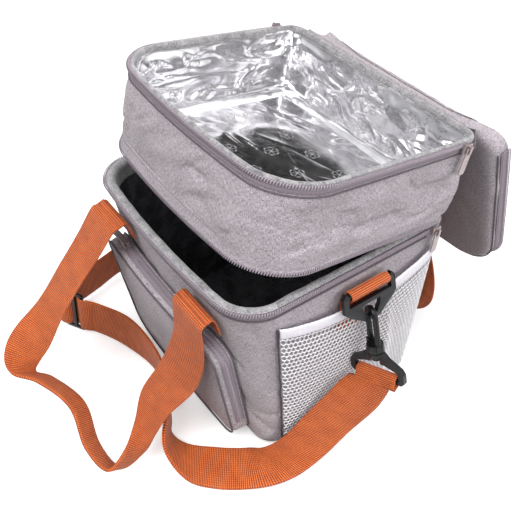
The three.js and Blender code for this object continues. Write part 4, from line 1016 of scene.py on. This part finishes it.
for tag, side, seed in (("right", 1, 101), ("left", -1, 131)):
    tv, faces = hexagons(1 / 40, 0.0333)
    t, v = tv.T
    z = NET_LOW + v * (net_top(t) - NET_LOW)
    y = net_y(t, z)
    pts = stack(side * (side_wall(y, z) + belly(t, v) + 0.5 + net_fold(t, v, seed)), y, z)
    mesh = make(f"net_mesh_{tag}", pts, [f[::side] for f in faces])
    wires = mesh.modifiers.new("strands", "WIREFRAME")
    wires.thickness = 1.4 * MM
    wires.use_even_offset = False
    dress(mesh, NETTING, "lower_box", "white_net", f"net_{tag}")

    t = np.linspace(0, 1, 130)
    rows = []
    for w, h in spline([(0.2, 0.2), (0.9, 1.2), (1.1, 6), (0.9, 11.4), (0.4, 12.4)], 10):
        z = net_top(t) + h
        y = net_y(t, z)
        pucker = 0.28 * np.sin(t * 210) + 0.4 * cell_noise(stack(t * 24, h / 9, 0), 7)
        rows.append(stack(side * (side_wall(y, z) + belly(t, 1) + w - 0.2 + 0.6 * pucker), y, z))
    hem = sheet(f"net_elastic_{tag}", np.array(rows))
    if side < 0:
        flip(hem)
    dress(solidify(hem, 1.0, 0), ELASTIC, "lower_box", "white_net", f"net_hem_{tag}")

    for place, end, past in (("front", 0.0, -1), ("back", 1.0, 1)):
        v = np.linspace(0, 1.06, 60)
        z = NET_LOW + v * (net_top(end) - NET_LOW)
        y = net_y(end, z) + past
        path = stack(side * (side_wall(y, z) + 0.9), y, z)
        path[:, 1] += 0.5 * cell_noise(stack(v * 12, 0, 0), 4)
        rod(f"net_binding_{place}_{tag}", path, (side, 0, 0), 0.9, DARK, "lower_box", "white_net")
    t = np.linspace(0, 1, 60)
    y = net_y(t, NET_LOW)
    z = NET_LOW - 1.2
    path = stack(side * (side_wall(y, z) + 0.9 + 0.9 * np.sin(np.pi * t)), y, z)
    rod(f"net_binding_low_{tag}", path, (side, 0, 0), 1.1, DARK, "lower_box", "white_net")

# Handles: polyester webbing, ribbed across, whose ends are sewn flat to the box. In the middle each
# is folded lengthwise into a grip, so it is half as wide and twice as thick there.


# Ribbed webbing: thick weft ribs across the strap, bound by fine warps
def webbing(name, light, dark):
    mat, tree, bsdf = shader(name)
    place = coords(tree, "UV")
    ribs = wave(tree, place, 1.85, 0.5, "Y", **{"Detail": 1.0, "Detail Scale": 4.0})
    warps = wave(tree, place, 2.05, 0.3, "X")
    weave = mul(tree, ribs, add(tree, mul(tree, warps, 0.6), 0.4))
    wear = speckle(tree, place, 0.8, 3.0)
    fibre = speckle(tree, coords(tree, "UV", (30, 4, 1)), 1.0, 2.0)
    fac = weighed(tree, (weave, 0.6), (fibre, 0.25), (wear, 0.25))
    colour = ramp(tree, fac, (0.26, dark), (0.5, between(light, dark)), (0.74, light))
    relief = bump(tree, add(tree, weave, mul(tree, fibre, 0.2)), 1.0, 0.8)
    feed(tree, bsdf, {"Base Color": colour, "Normal": relief, "Roughness": 0.62, "Sheen Weight": 0.04})
    return mat


ORANGE = webbing("orange_webbing", srgb(252, 133, 60), srgb(130, 44, 12))

WEB = 42


def route(stations, per):
    keys = np.array([[*s[0], *s[1], *(s[2:] or (WEB, 1.5))] for s in stations], float)
    padded = np.vstack([keys[:1], keys, keys[-1:]])
    rows = []
    for i in range(len(keys) - 1):
        a, b, c, d = padded[i:i + 4]
        for k in range(per):
            t = k / per
            rows.append(0.5 * (2 * b + (c - a) * t + (2 * a - 5 * b + 4 * c - d) * t * t
                               + (3 * b - a - 3 * c + d) * t**3))
    rows.append(keys[-1])
    return np.array(rows)


# A strip of webbing: rounded edges swept along a route, with the ribs' coordinates along it
def strip(name, rows, body, nodes, shift=0.0, thick=None):
    p = rows[:, :3]
    w = unit(rows[:, 3:6])
    n = unit(np.cross(w, unit(np.gradient(p, axis=0))))
    half = rows[:, 6] / 2
    deep = rows[:, 7] if thick is None else np.full(len(rows), thick)
    side = np.array([-1, -0.97, -0.8, -0.4, 0, 0.4, 0.8, 0.97, 1])
    top = np.array([0.55, 0.95, 1.0, 0.92, 0.9, 0.92, 1.0, 0.95, 0.55])
    ring = np.stack([p + w * (a * half)[:, None] + n * ((b * deep / 2) + shift)[:, None]
                     for a, b in [*zip(side, top), *zip(side[::-1], -top[::-1])]], axis=1)
    count, sides = ring.shape[:2]
    length = distances(p)
    width = distances(ring.mean(axis=0))
    width = np.append(width, width[-1] + 1)
    uv = np.zeros((count - 1, sides, 4, 2))
    for k, (du, dv) in enumerate(((0, 0), (1, 0), (1, 1), (0, 1))):
        uv[:, :, k, 0] = width[du:du + sides][None, :]
        uv[:, :, k, 1] = length[dv:dv + count - 1][:, None]
    obj = gridded(name, ring, uv, joined=True, capped=True)
    bm = bmesh.new()
    bm.from_mesh(obj.data)
    bmesh.ops.recalc_face_normals(bm, faces=bm.faces)
    bm.to_mesh(obj.data)
    bm.free()
    return dress(obj, ORANGE, body, "orange_webbing", *nodes)


PF = (-136.0, 190.4)
front_handle = [
    ((-68, PF[0], PF[1] - 0.6), (1, 0, 0), 42, 1.1), ((-68, PF[0] - 2.6, PF[1] - 1.6), (1, 0, 0)),
    ((-69, -144, 186), (1, 0, 0)), ((-70, -160, 165), (0.98, 0, 0.05)), ((-69, -182, 142), (0.97, 0, 0.1)),
    ((-66, -213, 109), (0.95, 0.1, 0.1)), ((-61, -245, 80), (0.6, 0.6, -0.45), 34, 1.5),
    ((-52, -252, 66), (0.1, 0.8, -0.5), 26, 3), ((-36, -238, 60), (-0.25, 0.75, -0.6), 21, 3.4),
    ((4, -226, 58), (-0.3, 0.7, -0.62), 21, 3.4), ((34, -230, 32), (-0.3, 0.65, -0.65), 21, 3.4),
    ((56, -222, 14), (-0.25, 0.6, -0.72), 21, 3.4), ((58, -200, 28), (0.2, 0.6, -0.7), 21, 3.4),
    ((52, -184, 44), (0.8, 0.35, -0.45), 24, 3.2), ((49, -170, 68), (0.95, 0.1, -0.2), 36, 2),
    ((57, -151, 98), (0.95, 0.2, -0.1)), ((63, -143, 126), (0.98, 0.15, -0.1)),
    ((67, -140.5, 152), (1, 0.05, 0)), ((68, -141, 175), (1, 0.02, 0)),
    ((68, -141, 185), (1, 0, 0)), ((68, PF[0] - 2.6, PF[1] - 1.6), (1, 0, 0)),
    ((68, PF[0], PF[1] - 0.6), (1, 0, 0), 42, 1.1),
]
strip("handle_front_web", route(front_handle, 10), "front_handle", ["handle_front"])

PB = (97.2, 170.0)
back_handle = [
    ((52, PB[0] + 0.6, PB[1] - 0.48), (1, 0, 0)), ((53, PB[0] + 2.85, PB[1] + 1.2), (1, 0, 0)),
    ((57, 104.6, 170), (1, 0, 0.05)), ((66, 108, 154), (0.9, 0, 0.42)), ((82, 110, 130), (0.87, 0, 0.45)),
    ((95, 111, 102), (0.97, 0, 0.2), 38, 1.5), ((95, 111.6, 76), (0.9, 0.2, -0.35), 30, 2),
    ((76, 112, 54), (0.5, 0.4, -0.75), 21, 3.4), ((40, 113, 42), (0.15, 0.4, -0.9), 21, 3.4),
    ((0, 113.5, 40), (0, 0.4, -0.9), 21, 3.4), ((-38, 113, 50), (-0.3, 0.35, -0.88), 21, 3.4),
    ((-60, 112, 72), (-0.75, 0.2, -0.6), 30, 2), ((-68, 111, 100), (-0.97, 0, -0.2), 38, 1.5),
    ((-66, 109, 132), (-1, 0, 0.05)), ((-59, 106.6, 158), (-1, 0, 0.15)), ((-55, 104.6, 170), (-1, 0, 0)),
    ((-53, PB[0] + 2.85, PB[1] + 1.2), (-1, 0, 0)), ((-52, PB[0] + 0.6, PB[1] - 0.48), (-1, 0, 0)),
]
strip("handle_back_web", route(back_handle, 10), "back_handle", ["handle_back"])


# A flat sewn patch of webbing from a side profile, at one place along X
def patch_rows(x, profile):
    rows = []
    for y, z in spline(profile, 30):
        rows.append(((x, y, z), (1, 0, 0)))
    return route(rows, 2)


# The fold that hides the joint between a handle and its sewn end
def pivot_fold(name, x, y, z, body):
    rows = [((x, y + 0.8 * math.cos(a), z + 0.8 * math.sin(a)), (1, 0, 0), WEB - 1, 0.9)
            for a in np.linspace(0, 2 * np.pi, 13)]
    strip(name, route(rows, 1), body, [])


for tag, x in (("left", -68), ("right", 68)):
    def face(z):
        return min(front_wall(x - 21, z), front_wall(x + 21, z), front_wall(x, z)) - 0.35
    high = face(184)
    profile = [(face(170) - 0.75, 170), (face(177) - 0.75, 177), (high - 1.2, 183), (high - 3.4, 189.4),
               (high - 6.6, 191.4), (PF[0] + 2.6, PF[1] + 0.3), (PF[0] + 0.5, PF[1] - 0.45)]
    rows = patch_rows(x, profile)
    strip(f"front_anchor_web_{tag}", rows, "lower_box", [f"handle_front_anchor_{tag}"])
    pivot_fold(f"front_handle_fold_{tag}", x, PF[0] + 0.1, PF[1] - 0.6, "front_handle")
    for k, z in enumerate((172.6, 180.4)):
        path = np.array([[x + d, face(z) - 1.7, z] for d in np.linspace(-18, 18, 20)])
        sewn(f"front_anchor_stitch_{tag}_{k}", path, FORWARD)
for tag, x in (("left", -52), ("right", 52)):
    def back(z):
        return BACK + 2 * z / H + 0.4
    profile = [(back(z) + 0.75, z) for z in (60, 85, 110, 135, 158)]
    profile += [(back(164) + 0.9, 164), (PB[0] + 0.25, PB[1] - 0.95)]
    rows = patch_rows(x, profile)
    strip(f"back_anchor_web_{tag}", rows, "lower_box", [f"handle_back_anchor_{tag}"])
    pivot_fold(f"back_handle_fold_{tag}", x, PB[0] + 0.4, PB[1] - 0.7, "back_handle")
    box = [(-17, 66), (17, 66), (17, 96), (-17, 96), (-17, 66), (17, 96), (-17, 96), (17, 66)]
    path = np.array([[x + a, back(z) + 1.7, z] for a, z in box], float)
    sewn(f"back_anchor_stitch_{tag}", along(path, 1.0)[0], (0, 1, 0))

# Rings, snap hooks, strap slider and zip sliders: moulded acetal and cast zinc with rounded edges.
# Each hook turns on its base and has a sprung gate, and each zip slider carries a loose pull.
PLASTIC = plain("black_plastic", srgb(12, 12, 13), 0.36, 0.12, 420.0, specular=0.3)
RINGPLASTIC = plain("dark_grey_plastic", srgb(22, 22, 25), 0.4, 0.12, 420.0, specular=0.3)
STEEL = plain("painted_zinc", srgb(172, 158, 158), 0.36, 0.15, 300.0, metallic=0.55)

BAR = Vector((127.2, -5, 187))
HANG = 20
HANGS = 63.4
hook_origin = BAR + Vector((HANGS * math.sin(math.radians(HANG)), 0, -HANGS * math.cos(math.radians(HANG))))
HOOK = Matrix.Translation(hook_origin) @ Matrix.Rotation(math.radians(-HANG), 4, "Y")
BASE_TURN = HOOK @ Matrix.Rotation(math.radians(12), 4, "Z")


def softened(name, cad, material, body, slot, width=0.5, segments=3):
    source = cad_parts[cad]
    mesh = source.data.copy()
    mesh.materials.clear()
    obj = bpy.data.objects.new(name, mesh)
    bpy.context.collection.objects.link(obj)
    bm = bmesh.new()
    bm.from_mesh(mesh)
    bmesh.ops.remove_doubles(bm, verts=bm.verts, dist=0.00002)
    bmesh.ops.dissolve_limit(bm, angle_limit=0.02, verts=bm.verts, edges=bm.edges)
    bm.to_mesh(mesh)
    bm.free()
    mesh.polygons.foreach_set("use_smooth", np.ones(len(mesh.polygons), bool))
    mod = obj.modifiers.new("soft_edges", "BEVEL")
    mod.width = width * MM
    mod.segments = segments
    mod.limit_method = "ANGLE"
    mod.angle_limit = math.radians(28)
    mod.harden_normals = True
    return dress(obj, material, body, slot, cad)


for tag in ("right", "left"):
    softened(f"ring_moulding_{tag}", f"ring_{tag}", RINGPLASTIC, f"{tag}_ring", "black_plastic", 0.6)
    softened(f"hook_moulding_{tag}", f"hook_{tag}", PLASTIC, f"{tag}_hook", "black_plastic", 0.3)
    softened(f"gate_moulding_{tag}", f"hook_gate_{tag}", PLASTIC, f"{tag}_gate", "black_plastic", 0.5)
    softened(f"base_moulding_{tag}", f"hook_base_{tag}", PLASTIC, "lower_box", "black_plastic", 0.5)
slider_moulding = softened("slider_moulding", "strap_slider", PLASTIC, "lower_box", "black_plastic", 0.5)
for place in ("lower_zip_right", "lower_zip_left", "top_zip_right", "top_zip_left", "pocket_zip"):
    body = place.replace("_zip", "")
    softened(f"{place}_slider_cast", f"{place}_slider", STEEL, f"{body}_slider", "zip_metal", 0.35)
    softened(f"{place}_pull_cast", f"{place}_pull", STEEL, f"{body}_pull", "zip_metal", 0.25)

# Ring loops: a length of webbing on each side, up the wall, round the ring's bar and down again. Both
# layers are sewn to the wall with one row of stitches.
for tag, side in (("right", 1), ("left", -1)):
    wall = [float(side_wall(-5, z)) + 0.45 for z in (140, 150, 160, 170, 178)]
    outer = [(w + 2.2, z) for w, z in zip(wall, (140, 150, 160, 170, 176))]
    radius = 4.15
    loop = [(BAR.x + radius * math.cos(math.radians(a)), BAR.z + radius * math.sin(math.radians(a)))
            for a in range(-58, 170, 19)]
    inner = [(w + 0.75, z) for w, z in zip(wall[::-1], (178, 170, 160, 150, 140))]
    rows = [((side * x, -5, z), (0, 1, 0)) for x, z in outer + loop + inner]
    strip(f"keeper_web_{tag}", route(rows, 6), "lower_box", [f"keeper_{tag}"], thick=1.35)
    path = np.array([[side * (wall[1] + 3.1), y, 146.0] for y in np.linspace(-22, 12, 20)])
    sewn(f"keeper_stitch_{tag}", path, (side, 0, 0))

# Shoulder strap: one length of webbing from hook to hook, threaded through the slider. The stretch
# on the right is doubled, two layers that part slightly, and each end is folded round a hook's base.
slider_along = Vector((-0.86, -0.51, 0)).normalized()
slider_up = Vector((0.1, 0.2, 0.97))
slider_up = (slider_up - slider_along * slider_up.dot(slider_along)).normalized()
slider_out = slider_along.cross(slider_up)
slider_turn = Matrix((slider_along, slider_up, slider_out)).transposed().to_4x4()
SLIDER = Matrix.Translation((-132, -169, 26.4)) @ slider_turn
SLIDER_HALF = 12


def threaded(a, out, thick=1.5):
    return (tuple(SLIDER @ Vector((a, 0, out))), tuple(slider_up), WEB, thick)


base_bar = BASE_TURN @ Vector((0, 0, -26))
bar_dir = (BASE_TURN.to_3x3() @ Vector((1, 0, 0))).normalized()
bx, by, bz = base_bar
bw = tuple(bar_dir)
doubled = [
    ((bx - 2, by - 7, bz - 6), bw), ((152, -26, 74), (0.82, 0.5, -0.2)),
    ((146, -46, 48), (0.8, 0.55, -0.15)), ((142, -70, 23), (0.82, 0.5, -0.1)),
    ((135, -94, 7.5), (0.97, 0.1, 0)), ((122, -118, 3.2), (0.87, -0.5, 0)),
    ((104, -142, 2.6), (0.8, -0.6, 0)), ((84, -163, 7.5), (0.8, -0.5, 0.2)),
    ((60, -168, 18), (0.6, -0.5, 0.7)), ((36, -152, 24), (0.15, -0.1, 1)),
    ((4, -137, 24), (0, 0, 1)), ((-34, -131, 24), (0, 0, 1)),
    ((-76, -138, 24), (0.1, 0.2, 0.97)), ((-107, -153, 24), (0.1, 0.2, 0.97)),
]

left_dir = (-bar_dir.x, bar_dir.y, bar_dir.z)
single = [
    ((2 - bx, by - 7, bz - 6), left_dir), ((-160, -24, 70), (-0.8, 0.4, 0.2)),
    ((-170, -52, 42), (-0.4, 0.2, 0.9)),
    ((-176, -88, 28), (0, 0.1, 1)), ((-168, -124, 25), (0, 0.1, 1)), ((-160, -156, 25), (0, 0.1, 1)),
    ((-154, -176, 25), (0, 0.15, 0.98)),
]
weave = [threaded(-SLIDER_HALF - 4, -2.6), threaded(3.2 - SLIDER_HALF, -2.6), threaded(-2.6, 2.7),
         threaded(2.6, 2.7), threaded(SLIDER_HALF - 3.2, -2.6), threaded(SLIDER_HALF + 5.2, -2.6)]
rows = route(doubled + weave + single[::-1], 10)
web = strip("strap_web", rows, "lower_box", ["strap_doubled", "strap_single"])
inner_rows = route(doubled + weave[:1], 10)
inner_layer = strip("strap_inner_layer", inner_rows, "lower_box", [], shift=-1.7, thick=1.35)


def end_fold(name, centre, w, away):
    w = Vector(w).normalized()
    d = Vector(away) - centre
    d = (d - w * d.dot(w)).normalized()
    n = w.cross(d).normalized()
    pts = [(9.6, 1.0)] + [(4.9 * math.cos(math.radians(a)), 4.9 * math.sin(math.radians(a)))
                          for a in range(46, 320, 18)] + [(9.6, -1.0)]
    rows = [(tuple(centre + d * a + n * b), tuple(w), WEB - 1, 1.35) for a, b in pts]
    return strip(name, route(rows, 3), "lower_box", [])


fold_right = end_fold("strap_fold_right", Vector((bx, by, bz)), bw, doubled[0][0])
fold_left = end_fold("strap_fold_left", Vector((-bx, by, bz)), left_dir, single[0][0])
line = rows[:, :3] * MM
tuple(line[0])

# Studio: a white floor, three soft lamps and a grey world that is brighter overhead, as in a product
# photograph. Nothing here belongs to the bag.
FAR = 30000
floor = gridded("floor", np.array([[(x, y, -0.3) for x in (-FAR, FAR)] for y in (-FAR, FAR)]))
white, tree, bsdf = shader("studio_floor")
feed(tree, bsdf, {"Base Color": (0.92, 0.92, 0.92, 1), "Roughness": 0.9,
                  "Emission Color": (1, 1, 1, 1), "Emission Strength": 0.3})
floor.data.materials.append(white)
floor.visible_diffuse = False


def area(name, place, aim, size, power):
    light = bpy.data.lights.new(name, "AREA")
    light.shape = "RECTANGLE"
    light.size, light.size_y = size
    light.energy = power
    obj = bpy.data.objects.new(name, light)
    bpy.context.collection.objects.link(obj)
    obj.location = place
    obj.rotation_euler = (Vector(aim) - Vector(place)).to_track_quat("-Z", "Y").to_euler()


area("key", (0.25, -1.1, 2.0), (0, 0, 0.15), (1.2, 1.2), 32)
area("fill", (1.7, -0.1, 0.9), (0, 0, 0.15), (1.0, 0.8), 13)
area("top", (-0.9, 0.3, 1.9), (0, 0, 0.2), (0.8, 0.8), 7)
world = bpy.data.worlds.new("studio")
bpy.context.scene.world = world
world.use_nodes = True
tree = world.node_tree
sky = node(tree, "ShaderNodeSeparateXYZ", {0: tree.nodes.new("ShaderNodeTexCoord").outputs["Generated"]})
height = add(tree, mul(tree, sky.outputs[2], 0.5), 0.5)
shade = ramp(tree, height, (0.0, (0.16, 0.16, 0.16)), (0.5, (0.3, 0.3, 0.3)), (0.68, (0.34, 0.34, 0.35)),
             (0.84, (0.95, 0.95, 0.97)), (1.0, (1.2, 1.2, 1.2)))
# A dark screen behind the bag and two pale ones, which the tray's film mirrors
place = tree.nodes["Texture Coordinate"].outputs["Generated"]
for aim, start, end, colour, blend in (((-0.6, 0.62, 0.5), 0.6, 0.93, (0.1, 0.097, 0.093), "MULTIPLY"),
                                       ((0.5, 0.62, 0.5), 0.74, 0.93, (1.5, 1.5, 1.53), "ADD"),
                                       ((-0.64, -0.74, 0.25), 0.72, 0.92, (0.25, 0.25, 0.26), "ADD")):
    inputs = {0: place, 1: Vector(aim).normalized()}
    facing_it = node(tree, "ShaderNodeVectorMath", inputs, operation="DOT_PRODUCT")
    clear = (1, 1, 1) if blend == "MULTIPLY" else (0, 0, 0)
    screen = ramp(tree, facing_it.outputs["Value"], (start, clear), (end, colour))
    shade = mix(tree, 1.0, shade, screen, blend)
tree.links.new(shade, tree.nodes["Background"].inputs["Color"])
tree.nodes["Background"].inputs["Strength"].default_value = 0.9

# Camera: placed, turned and shifted so that the edges of box, tray and lid fall where the photograph
# has them.
camera = bpy.data.objects.new("camera", bpy.data.cameras.new("camera"))
bpy.context.collection.objects.link(camera)
camera.location = (0.376849, -0.309528, 0.581354)
camera.rotation_euler = [math.radians(a) for a in (44.1278, -1.3964, 53.8801)]
camera.data.sensor_width = 36
camera.data.lens = 47.646
camera.data.shift_x = -0.0045
camera.data.shift_y = 0.0539
camera.data.clip_start = 0.01
bpy.context.scene.camera = camera

bpy.context.scene.view_settings.view_transform = "Standard"
